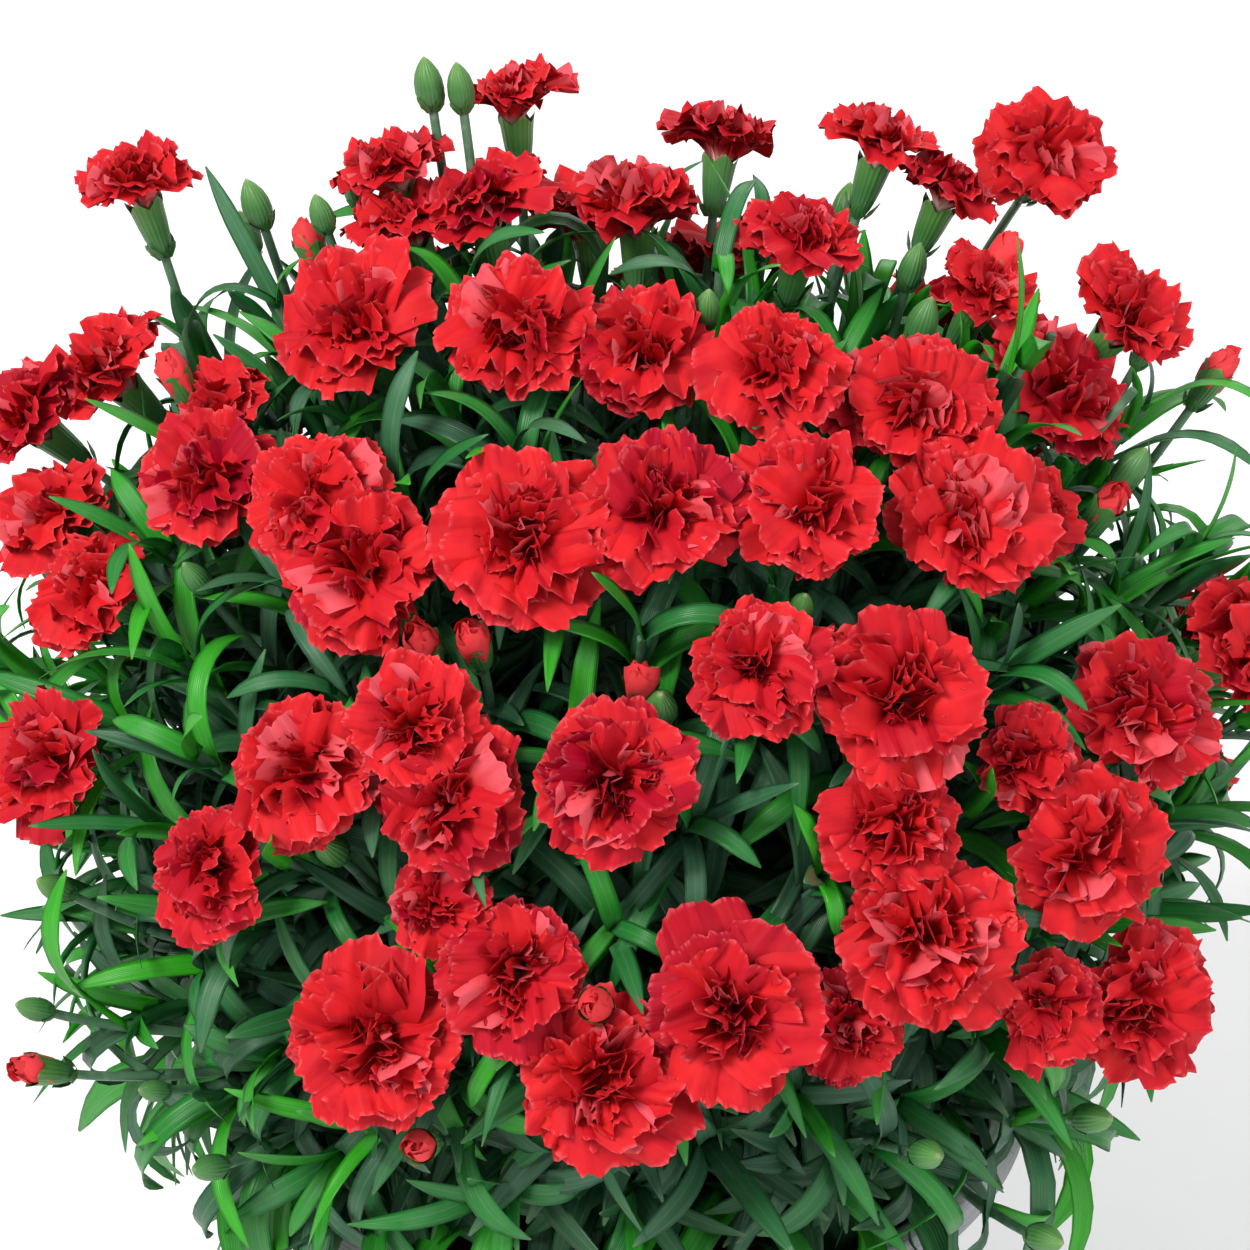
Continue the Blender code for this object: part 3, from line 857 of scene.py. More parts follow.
def pot_profile(settings):
    """Half section from the middle of the floor, up inside, over the lip and down the outside."""
    wall = settings.wall
    base = settings.base_radius
    lip_foot = RIM_HEIGHT - settings.lip

    def cone(height):
        return base + (RIM_RADIUS - LIP_PROUD - base) * (height / RIM_HEIGHT)

    inner = cone(RIM_HEIGHT) - wall
    middle = (inner + RIM_RADIUS) / 2
    half = (RIM_RADIUS - inner) / 2
    profile = [(0.0, POT_FLOOR), (cone(POT_FLOOR) - wall - 4 * MM, POT_FLOOR),
               (cone(POT_FLOOR + 2 * MM) - wall, POT_FLOOR + 2 * MM)]
    for share in (0.2, 0.4, 0.6, 0.8, 0.93):
        profile.append((cone(RIM_HEIGHT * share) - wall, RIM_HEIGHT * share))
    for step in range(9):
        angle = math.pi - math.pi * step / 8
        profile.append((middle + half * math.cos(angle),
                        RIM_HEIGHT - LIP_CREST + LIP_CREST * math.sin(angle)))
    profile.append((RIM_RADIUS - LIP_TAPER, lip_foot + LIP_ROUND))
    for step in range(5):
        angle = -math.pi / 2 * step / 4
        profile.append((RIM_RADIUS - LIP_TAPER - LIP_ROUND + LIP_ROUND * math.cos(angle),
                        lip_foot + LIP_ROUND * (1 + math.sin(angle)) - 0.2 * MM))
    profile.append((cone(lip_foot - 1 * MM) + LIP_TAPER, lip_foot - 0.8 * MM))
    for share in (0.88, 0.7, 0.5, 0.3, 0.12, 0.04):
        profile.append((cone(RIM_HEIGHT * share), RIM_HEIGHT * share))
    profile += [(base - FOOT_ROUND, FOOT_ROUND), (base - 3 * MM, 0.0), (0.0, 0.0)]
    return profile


class CARNATION_OT_pot(bpy.types.Operator):
    """Turn the grey pot on its axis"""
    bl_idname = "carnation.pot"
    bl_label = "Pot"

    def execute(self, context):
        settings = context.scene.carnation_pot
        mesh = bpy.data.meshes.new("pot_section")
        profile = pot_profile(settings)
        mesh.from_pydata([(r, 0.0, z) for r, z in profile],
                         [(k, k + 1) for k in range(len(profile) - 1)], [])
        carrier = link(bpy.data.objects.new("pot_section", mesh))
        turn = carrier.modifiers.new("turn", "SCREW")
        turn.steps = POT_STEPS
        turn.render_steps = POT_STEPS
        turn.use_merge_vertices = True
        turn.merge_threshold = 0.00005
        turn.use_smooth_shade = True
        pot = finished(carrier, "grey_pot")
        pot.data.set_sharp_from_angle(angle=math.radians(50))
        pot.data.materials.append(pot_paint(settings))
        declare(pot, "pot_grey", "pot")
        return {"FINISHED"}


def grit_tree():
    """Scatters grains of several sizes over a ground, by a fixed seed."""
    tree, given = new_tree("Soil grains", (("Grains", "NodeSocketCollection", None),
                                           ("Density", "NodeSocketFloat", 40000.0),
                                           ("Smallest", "NodeSocketFloat", 0.4),
                                           ("Largest", "NodeSocketFloat", 1.6),
                                           ("Seed", "NodeSocketInt", 5)))
    ground, seed = given["Geometry"], given["Seed"]
    scatter = add_node(tree, "GeometryNodeDistributePointsOnFaces", {
        "Mesh": ground, "Density": given["Density"], "Seed": seed}, distribute_method="RANDOM")
    spin = add_node(tree, "FunctionNodeRandomValue", {"Max": (math.tau,) * 3, "Seed": seed},
                    data_type="FLOAT_VECTOR")
    size = add_node(tree, "FunctionNodeRandomValue", {
        2: given["Smallest"], 3: given["Largest"], "Seed": seed}, data_type="FLOAT")
    stand = add_node(tree, "GeometryNodeInstanceOnPoints", {
        "Points": scatter.outputs["Points"], "Instance": instances_of(tree, given["Grains"]),
        "Pick Instance": True, "Rotation": spin.outputs["Value"], "Scale": size.outputs[1]})
    both = add_node(tree, "GeometryNodeJoinGeometry", {"Geometry": ground})
    feed(tree, both.inputs["Geometry"], stand.outputs["Instances"])
    return end_tree(tree, given, both.outputs["Geometry"])


SOIL_RINGS = 26
SOIL_SPOKES = 96
SOIL_DEPTH = 20 * MM
SOIL_SHRINK = 0.93
SOIL_FALL = 3.5 * MM
SOIL_LEVEL = SOIL_TOP - 1.4 * MM
SOIL_BUMP_MM = 0.22


def soil_ground(radius):
    """A bumpy closed cake of soil: rings from the middle out, then down to its underside."""
    chance = random.Random(3)
    waves = [(chance.uniform(60, 240), chance.uniform(0, math.tau), chance.uniform(0, math.tau))
             for _ in range(9)]

    def height(x, y):
        total = sum(math.sin(k * (x * math.cos(a) + y * math.sin(a)) + b) for k, a, b in waves)
        fall = SOIL_FALL * (math.hypot(x, y) / radius) ** 3
        return SOIL_LEVEL + total * SOIL_BUMP_MM * MM - fall

    spokes = SOIL_SPOKES
    verts = [(0.0, 0.0, height(0.0, 0.0))]
    for ring in range(1, SOIL_RINGS + 1):
        r = radius * ring / SOIL_RINGS
        for spoke in range(spokes):
            a = math.tau * spoke / spokes
            x, y = r * math.cos(a), r * math.sin(a)
            verts.append((x, y, height(x, y)))
    low = SOIL_TOP - SOIL_DEPTH
    verts += [(x * SOIL_SHRINK, y * SOIL_SHRINK, low) for x, y, _ in verts[-spokes:]]
    verts.append((0.0, 0.0, low))
    faces = [(0, 1 + k, 1 + (k + 1) % spokes) for k in range(spokes)]
    faces += ring_faces(spokes, SOIL_RINGS, 1)
    last = 1 + SOIL_RINGS * spokes
    faces += [(last + k, len(verts) - 1, last + (k + 1) % spokes) for k in range(spokes)]
    return mesh_object("soil_ground", verts, faces)


def grain_kinds():
    """Small lumps, two of them flat and one drawn out like a fibre."""
    kinds = []
    for number in range(4):
        chance = random.Random(20 + number)
        bm = bmesh.new()
        bmesh.ops.create_icosphere(bm, subdivisions=1, radius=1.0 * MM)
        for vert in bm.verts:
            vert.co *= chance.uniform(0.65, 1.2)
            vert.co.z *= 0.6 if number % 2 else 0.9
            vert.co.x *= 2.2 if number == 3 else 1.0
        mesh = bpy.data.meshes.new(f"grain_{number}")
        bm.to_mesh(mesh)
        bm.free()
        kinds.append(bpy.data.objects.new(f"grain_{number}", mesh))
    return kinds_collection("grains", kinds)


class CARNATION_OT_soil(bpy.types.Operator):
    """Lay the crumbly potting soil with its loose grains"""
    bl_idname = "carnation.soil"
    bl_label = "Soil"

    def execute(self, context):
        settings = context.scene.carnation_pot
        radius = SOIL_HIGH.x - 0.5 * MM
        carrier = link(soil_ground(radius))
        grains = grain_kinds()
        area = math.pi * radius * radius
        use_tree(carrier, grit_tree(), {"Grains": grains, "Density": settings.grains / area,
                                        "Material": soil_paint(settings)})
        soil = finished(carrier, "soil_top")
        drop_kinds(grains)
        declare(soil, "potting_soil", "soil")
        return {"FINISHED"}


# ---------------------------------------------------------------- blooms

# One row for each ring of petals from the outside in: petals, half width, end heading (degrees),
# length, depth of the waves, twist, radius of the curve across the petal or 0. Sizes are shares of
# the head's diameter.
PETAL_RINGS = (
    (6, 0.30, -6, 0.71, 0.036, 0.10, 0.0),
    (6, 0.28, 6, 0.68, 0.044, 0.16, 0.0),
    (6, 0.24, 22, 0.63, 0.052, 0.30, 0.0),
    (6, 0.19, 38, 0.58, 0.056, 0.60, 0.0),
    (6, 0.15, 54, 0.54, 0.054, 0.95, 0.0),
    (5, 0.13, 72, 0.51, 0.050, 1.30, 0.0),
    (5, 0.24, 128, 0.50, 0.012, 0.08, 0.16),
    (4, 0.16, 112, 0.50, 0.016, 0.20, 0.09),
)
BLOOM_RINGS = range(6)
TUFT_RINGS = range(6, 8)
WIDE_RINGS = range(3)
PETAL_KINDS = 4
CLAW_HEADING = math.radians(84.0)
CLAW_RADIUS = 0.035
CLAW_WIDTH = 0.13
OVERLAP_TILT = 0.17
TOOTH = (-0.014, 0.022)
TOOTH_STEP = 0.012
FULL_WIDTH = 0.24
NOTCH_DEPTH = 0.07
NOTCH_WIDTH = 0.12
NOTCH_SHARE = 0.6
RUMPLE = 0.004
TONE_MIDDLE = 0.68
TONE_TOP = 0.88


def petal(name, ring, kind, ruffle):
    """A fan-shaped petal on a narrow claw, its margin waved and cut into fine teeth.
    It starts at the head's foot, rises along local Z and opens towards local Y."""
    _, half_width, heading, length, wave, twist, cup = PETAL_RINGS[ring]
    chance = np.random.RandomState(100 * ring + kind)
    columns, rows = (18, 8) if ring in WIDE_RINGS else (16, 7)
    stride = columns + 1
    u = np.linspace(-1.0, 1.0, stride)[None, :].repeat(rows + 1, axis=0)
    v = (np.linspace(0.0, 1.0, rows + 1) ** 0.85)[:, None].repeat(stride, axis=1)

    # The margin: rounded, lobed, toothed and often notched
    teeth = chance.uniform(*TOOTH, stride) + TOOTH_STEP * (np.arange(stride) % 2)
    teeth *= min(1.0, half_width / FULL_WIDTH)
    phase = u * math.pi * chance.uniform(1.2, 2.4) + chance.uniform(0.0, math.tau)
    lobes = 0.035 * np.sin(phase)
    from_notch = (u[-1] - chance.uniform(-0.5, 0.5)) / NOTCH_WIDTH
    notch = -NOTCH_DEPTH * np.exp(-from_notch ** 2) * (chance.rand() < NOTCH_SHARE)
    reach = v * (1.0 - 0.15 * u * u + lobes * v * v)
    reach[-1] += teeth + notch
    reach[-2] += 0.25 * teeth

    # The spine: up the claw, then over to the end heading
    fine = np.linspace(0.0, 1.2, 121)
    end = math.radians(heading + chance.uniform(-9.0, 9.0))
    turn = CLAW_HEADING + (end - CLAW_HEADING) * smooth(fine, 0.16, 0.82)
    step = fine[1] * length
    out = CLAW_RADIUS + 0.75 * cup + running_sum(np.cos(turn[:-1]) * step)
    rise = running_sum(np.sin(turn[:-1]) * step)
    spine_out, spine_rise, angle = (np.interp(reach, fine, line) for line in (out, rise, turn))

    # The blade: its width, the waves across it and the tilt that lets petals overlap
    width = half_width * (CLAW_WIDTH + (1.0 - CLAW_WIDTH) * smooth(v, 0.10, 0.80) ** 0.9)
    phase = chance.uniform(0.0, math.tau, 5)
    slow = np.sin(u * math.pi * chance.uniform(0.9, 1.5) + phase[0])
    mid = np.sin(u * math.pi * chance.uniform(1.9, 2.9) + phase[1] + v * 1.2)
    quick = np.sin(u * math.pi * chance.uniform(4.4, 6.0) + phase[2])
    swell = smooth(v, 0.30, 1.0)
    ripple = wave * ruffle * swell * (slow + 0.9 * mid * v + 0.50 * quick * v ** 3)
    ripple += 0.10 * half_width * u * u * (1.0 - v)
    rumple = chance.uniform(-1.0, 1.0, v.shape) * RUMPLE * swell
    spin = (OVERLAP_TILT + twist * chance.uniform(-1.0, 1.0)) * swell
    side = u * width * (1.0 - 0.10 * swell * np.abs(slow))
    if cup:
        ripple += cup * (1.0 - np.cos(side / cup))
        side = cup * np.sin(side / cup)
    off = side * np.sin(spin) + ripple + rumple
    verts = np.stack([side * np.cos(spin), spine_out - np.sin(angle) * off,
                      spine_rise + np.cos(angle) * off], axis=-1).reshape(-1, 3)
    faces = [(r * stride + c, r * stride + c + 1, (r + 1) * stride + c + 1, (r + 1) * stride + c)
             for r in range(rows) for c in range(columns)]
    uvs = np.stack([(u + 1.0) / 2.0, v], axis=-1).reshape(-1, 2)
    return mesh_object(name, verts, faces, uvs)


def petal_kinds(settings):
    """Every ring's petals, numbered ring by ring."""
    return kinds_collection("petal_kinds", [
        petal(f"petal_{ring}_{kind}", ring, kind, settings.ruffle)
        for ring in range(len(PETAL_RINGS)) for kind in range(PETAL_KINDS)])


def petal_places(foot, facing, diameter, chance, rings=BLOOM_RINGS):
    """Where each petal of one double flower stands, ring by ring."""
    places = []
    base = turn_to(facing, chance.uniform(0.0, math.tau))
    bloom_tone = chance.uniform(-0.16, 0.16)
    lean_way = chance.uniform(0.0, math.tau)
    uneven = chance.uniform(0.02, 0.12)
    for ring in rings:
        rolled = ring in TUFT_RINGS
        count = PETAL_RINGS[ring][0]
        start = chance.uniform(0.0, math.tau)
        for number in range(count):
            around = start + math.tau * (number + chance.uniform(-0.28, 0.28)) / count
            lean = math.radians(chance.gauss(0.0, 3.0 if rolled else 6.5 + ring))
            own = math.radians(chance.gauss(0.0, 5.0 if rolled else 5.0 + 9.0 * ring))
            turn = (base @ Quaternion(UP, around) @ Quaternion((1.0, 0.0, 0.0), lean)
                    @ Quaternion(UP, own))
            size = diameter * chance.uniform(0.88, 1.08)
            size *= 1.0 + uneven * math.cos(around - lean_way)
            # Tone differs at random by bloom and petal; inner rings are a little darker, as painted
            # shade
            tone = TONE_MIDDLE + bloom_tone - 0.01 * ring + chance.gauss(0.0, 0.14)
            tone = min(TONE_TOP, max(0.0, tone))
            if ring > 1 and chance.random() < (0.75 if rolled else 0.20):
                tone = 1.0
            kind = ring * PETAL_KINDS + chance.randrange(PETAL_KINDS)
            places.append((foot, turn, (size, size, size), kind, tone))
    return places


class CARNATION_OT_blooms(bpy.types.Operator):
    """Fill every flower head with rings of ruffled petals"""
    bl_idname = "carnation.blooms"
    bl_label = "Blooms"

    def execute(self, context):
        settings = context.scene.carnation_plant
        chance = random.Random(settings.seed + 1)
        kinds = petal_kinds(settings)
        red = petal_paint(settings)
        for node, foot, facing, diameter in plan().heads:
            places = petal_places(foot, facing, diameter, chance)
            bloom = stand_kinds(node.replace("bloom", "double_bloom"), places, kinds, red)
            declare(bloom, "petal_red", node)
        for name, foot, facing, diameter in plan().small_heads:
            places = petal_places(foot, facing, diameter, chance)
            declare(stand_kinds(name, places, kinds, red), "petal_red")
        drop_kinds(kinds)
        return {"FINISHED"}


# ---------------------------------------------------------------- calyxes and buds

# Share of the length, share of the width, for the open tube under a flower and for a closed bud
TUBE_SHAPE = ((0.0, 0.30), (0.06, 0.50), (0.16, 0.66), (0.35, 0.82), (0.55, 0.93), (0.72, 1.0),
              (0.84, 1.06))
BUD_SHAPE = ((0.0, 0.25), (0.07, 0.62), (0.18, 0.88), (0.36, 1.0), (0.54, 0.96), (0.70, 0.80),
             (0.84, 0.52), (0.94, 0.24))
# Rows of one scale: share of its length, half its width (radians)
SCALE_ROWS = ((0.0, 0.60), (0.35, 0.75), (0.7, 0.42), (1.0, 0.05))
SPOKES = 20
TEETH = 5
TOOTH_SPOKES = SPOKES // TEETH
TOOTH_FROM = 0.86


def scales(number, chance):
    """Pointed scales in two pairs round the foot of a calyx, as rows of corners, quads and UVs."""
    verts, faces, uvs = [], [], []
    for pair in range(number):
        around = math.pi / 2 * pair + chance.uniform(-0.2, 0.2)
        high = 0.34 if pair % 2 else 0.28
        base = len(verts)
        for share, width in SCALE_ROWS:
            radius = 0.5 * (0.42 + 0.60 * share ** 0.6) + 0.035
            for column in (-1, 0, 1):
                angle = around + column * width
                out = radius + (0.03 if column == 0 else 0.0)
                verts.append((out * math.cos(angle), out * math.sin(angle), -0.02 + high * share))
                uvs.append((0.5 + 0.1 * column, 0.2 + 0.5 * share))
        for a in range(base, len(verts) - 3, 3):
            faces += [(a, a + 1, a + 4, a + 3), (a + 1, a + 2, a + 5, a + 4)]
    return verts, faces, uvs


def turned_green(name, shape, seed):
    """A ribbed green tube or bud of width 1 and length 1 on local Z, with scales round its foot."""
    chance = random.Random(seed)
    closed = shape is BUD_SHAPE
    verts, uvs = [], []
    for share, width in shape:
        for spoke in range(SPOKES):
            angle = math.tau * spoke / SPOKES
            lobe = math.cos(TEETH * angle)
            radius = 0.5 * width * (1.0 + (0.07 if closed else 0.03) * lobe * share)
            verts.append((radius * math.cos(angle), radius * math.sin(angle), share))
            uvs.append((spoke / SPOKES, share))
    for spoke in range(SPOKES):
        angle = math.tau * spoke / SPOKES
        tooth = abs(spoke % TOOTH_SPOKES - TOOTH_SPOKES / 2) / (TOOTH_SPOKES / 2)
        radius, top = 0.5 * (1.10 + 0.12 * tooth), TOOTH_FROM + 0.16 * tooth
        if closed:
            radius, top = 0.0, 1.0
        verts.append((radius * math.cos(angle), radius * math.sin(angle), top))
        uvs.append((spoke / SPOKES, 1.0 if closed else TOOTH_FROM + 0.14 * tooth))
    rows = len(verts) // SPOKES
    faces = []
    for row in range(rows - 1):
        a, b = row * SPOKES, (row + 1) * SPOKES
        faces += [(a + k, a + (k + 1) % SPOKES, b + (k + 1) % SPOKES, b + k) for k in range(SPOKES)]
    more_verts, more_faces, more_uvs = scales(4, chance)
    start = len(verts)
    verts += more_verts
    uvs += more_uvs
    faces += [tuple(start + corner for corner in face) for face in more_faces]
    obj = mesh_object(name, verts, faces, uvs)
    if closed:
        bm = bmesh.new()
        bm.from_mesh(obj.data)
        tips = [v for v in bm.verts if v.co.xy.length < 1e-6]
        bmesh.ops.remove_doubles(bm, verts=tips, dist=1e-6)
        bm.to_mesh(obj.data)
        bm.free()
        obj.data.shade_smooth()
    return obj


def by_sector(rows):
    """Rows whose first entry is a sector number, gathered as one list for each shoot."""
    groups = [[] for _ in SHOOTS]
    for row in rows:
        groups[row[0]].append(row[1:])
    return zip(SHOOTS, groups)


def stand_by_shoot(label, rows, kinds, material, slot, in_shoot=True):
    """One piece for each shoot with places of its own. Most kinds are part of the shoot's node."""
    for shoot, places in by_sector(rows):
        if places:
            nodes = (f"shoot_{shoot}",) if in_shoot else ()
            declare(stand_kinds(f"{label}_{shoot}", places, kinds, material), slot, *nodes)
    drop_kinds(kinds)


def green_kinds(name, shape, first_seed):
    """Two of a kind of tube or bud."""
    return kinds_collection(f"{name}_kinds", [turned_green(f"{name}_{k}", shape, first_seed + k)
                                              for k in range(2)])


class CARNATION_OT_calyxes(bpy.types.Operator):
    """Put a ribbed calyx with its scales under every flower"""
    bl_idname = "carnation.calyxes"
    bl_label = "Calyxes"

    def execute(self, context):
        settings = context.scene.carnation_plant
        chance = random.Random(settings.seed + 2)
        rows = []
        for start, facing, span in plan().calyxes:
            width = CALYX_WIDTH * (0.4 + 0.6 * span / CALYX_SPAN)
            turn = turn_to(facing, chance.uniform(0.0, math.tau))
            rows.append((sector_of(start), start, turn, (width, width, span), chance.randrange(2),
                         chance.random()))
        stand_by_shoot("calyxes", rows, green_kinds("calyx", TUBE_SHAPE, 0),
                       calyx_paint(settings), "stem_green")
        return {"FINISHED"}


class CARNATION_OT_buds(bpy.types.Operator):
    """Add the closed green buds and the red tufts of the buds that open"""
    bl_idname = "carnation.buds"
    bl_label = "Buds"

    def execute(self, context):
        settings = context.scene.carnation_plant
        chance = random.Random(settings.seed + 3)
        rows = []
        for foot, facing, length in plan().green_buds:
            length *= chance.uniform(0.75, 1.05)
            width = length * chance.uniform(0.50, 0.60)
            turn = turn_to(facing, chance.uniform(0.0, math.tau))
            rows.append((sector_of(foot), foot, turn, (width, width, length), chance.randrange(2),
                         chance.random()))
        green = bpy.data.materials.get("calyx_green") or calyx_paint(settings)
        stand_by_shoot("green_buds", rows, green_kinds("bud", BUD_SHAPE, 7), green, "leaf_green")
        rows = []
        for foot, facing, _ in plan().red_buds:
            start = foot + facing * RED_BUD_CALYX * 0.55
            for place in petal_places(start, facing, RED_BUD_HEAD, chance, TUFT_RINGS):
                rows.append((sector_of(foot), *place))
        # The rolled tips take the plain red that the frame's heads bring along
        red = bpy.data.materials.get("petal_red") or petal_paint(settings)
        stand_by_shoot("red_buds", rows, petal_kinds(settings), red, "petal_red", in_shoot=False)
        return {"FINISHED"}


# ---------------------------------------------------------------- stalks

# How much thicker a stalk is at its foot and at its joints, and the sides of its section
STALK_FOOT = 1.55
JOINT_SWELL = 1.30
STALK_SIDES = 7


class CARNATION_OT_stalks(bpy.types.Operator):
    """Sweep the jointed stalks of every shoot from its crown to the flowers"""
    bl_idname = "carnation.stalks"
    bl_label = "Stalks"

    def execute(self, context):
        settings = context.scene.carnation_plant
        green = stem_paint(settings)
        rows = [(number, points) for number, points, _ in plan().stalks]
        for shoot, stalks in by_sector(rows):
            verts, edges, thick = [], [], []
            for (points,) in stalks:
                start = len(verts)
                verts += [tuple(p) for p in points]
                edges += [(start + k, start + k + 1) for k in range(len(points) - 1)]
                for k in range(len(points)):
                    taper = STALK_FOOT - (STALK_FOOT - 1.0) * k / STALK_STEPS
                    joint = JOINT_SWELL if k % LEAF_EVERY == 0 and 0 < k < STALK_STEPS else 1.0
                    thick.append(STALK_THICK * taper * joint)
            mesh = bpy.data.meshes.new(f"paths_{shoot}")
            mesh.from_pydata(verts, edges, [])
            attribute = mesh.attributes.new("thick", "FLOAT", "POINT")
            attribute.data.foreach_set("value", thick)
            carrier = link(bpy.data.objects.new(f"paths_{shoot}", mesh))
            use_tree(carrier, kept_tree("Round stalks", stalks_tree),
                     {"Sides": STALK_SIDES, "Material": green})
            declare(finished(carrier, f"stalks_{shoot}"), "stem_green", f"shoot_{shoot}")
        return {"FINISHED"}


# ---------------------------------------------------------------- leaves

# Start and end heading from the stalk (degrees), middle of the bend, twist (degrees), sideways
# sweep
LEAF_CURLS = (
    (14, 34, 0.50, 12, 0.02), (18, 66, 0.55, -20, -0.03), (26, 104, 0.52, 25, 0.03),
    (32, 150, 0.55, -18, -0.03), (36, 215, 0.58, 22, 0.03), (38, 310, 0.60, -26, -0.04),
    (30, 128, 0.45, 60, 0.06), (24, 92, 0.66, -50, -0.06), (40, 250, 0.50, 35, 0.04),
    (34, 178, 0.66, -40, 0.05),
)
LEAF_ROWS = 12
# Corners round a leaf's section: place across, share of its thickness
LEAF_SECTION = ((-1.0, 0.0), (-0.5, 0.35), (0.0, 0.30), (0.5, 0.35), (1.0, 0.0), (0.0, -0.70))
LEAF_THICK = 0.0085
LEAF_FOLD = 0.028
LEAF_SWEEP = 6.0
BEND_SPAN = 0.48
# Tries for a place, what each shortens and narrows the leaf by, and the share that may stray
LEAF_TRIES = 4
LEAF_SHORTER = 0.80
LEAF_NARROWER = 0.90
STRAY_SHARE = 0.10
# Painted light and shade: outer leaves are painted lighter, and leaves this far inside the canopy
# (from, to) painted darker
OUTER_PAINTED_LIGHT = 0.14
INNER_PAINTED_SHADE = 0.62
SHADE_FROM, SHADE_TO = 0.04, 0.30
# Length and width (mm) at a stalk's foot and how much less they are at its top
STALK_LEAF = (88, 48)
LEAF_WIDTH = (9.2, 4.0)
LOW_CURLS = (2, 3, 6, 7, 9)
HIGH_CURLS = (1, 2, 3, 3, 4, 5, 6, 7, 8, 9, 9)
TIP_CURLS = (0, 1, 2, 7, 3)
SKIRT_CURLS = (3, 3, 4, 6, 9)


class LeafKind:
    """One strap-shaped blade of width 1 and length 1 that bends from local Z towards local Y."""

    def __init__(self, number):
        start, end, middle, twist, sweep = LEAF_CURLS[number]
        fine = np.linspace(0.0, 1.0, 97)
        bend = smooth(fine, max(0.0, middle - BEND_SPAN), min(1.0, middle + BEND_SPAN))
        heading = np.radians(start + (end - start) * bend)
        step = fine[1]
        y = running_sum(np.sin(heading[:-1]) * step)
        z = running_sum(np.cos(heading[:-1]) * step)
        share = np.linspace(0.0, 1.0, LEAF_ROWS + 1) ** 0.92
        self.verts, self.uvs = [], []
        for t in share:
            angle = np.interp(t, fine, heading)
            width = 0.5 * (0.80 + 0.20 * float(smooth(t, 0.0, 0.18)))
            width *= math.sqrt(max(0.0016, 1.0 - float(smooth(t, 0.62, 1.02)) ** 1.25))
            turn = math.radians(twist) * t
            for across, thick in LEAF_SECTION:
                side = across * width
                off = LEAF_THICK * thick * (0.25 + 0.75 * width / 0.5)
                off += LEAF_FOLD * abs(across) * (width / 0.5) * (1.0 - 0.6 * t)
                off += side * math.sin(turn) * 0.10
                x = side * math.cos(turn) + sweep * t * t * LEAF_SWEEP
                self.verts.append((x, np.interp(t, fine, y) - math.cos(angle) * off,
                                   np.interp(t, fine, z) + math.sin(angle) * off))
                self.uvs.append(((across + 1.0) / 2.0, t))
        ring = len(LEAF_SECTION)
        self.faces = ring_faces(ring, LEAF_ROWS)
        self.faces.append(tuple(range(ring)))
        self.faces.append(tuple(reversed(range(LEAF_ROWS * ring, (LEAF_ROWS + 1) * ring))))
        self.name = f"leaf_{number:02d}"
        many = np.linspace(0.08, 1.0, 24)
        self.guide = np.stack([sweep * many ** 2 * LEAF_SWEEP, np.interp(many, fine, y),
                               np.interp(many, fine, z)], axis=1)

    def piece(self):
        return mesh_object(self.name, self.verts, self.faces, self.uvs)


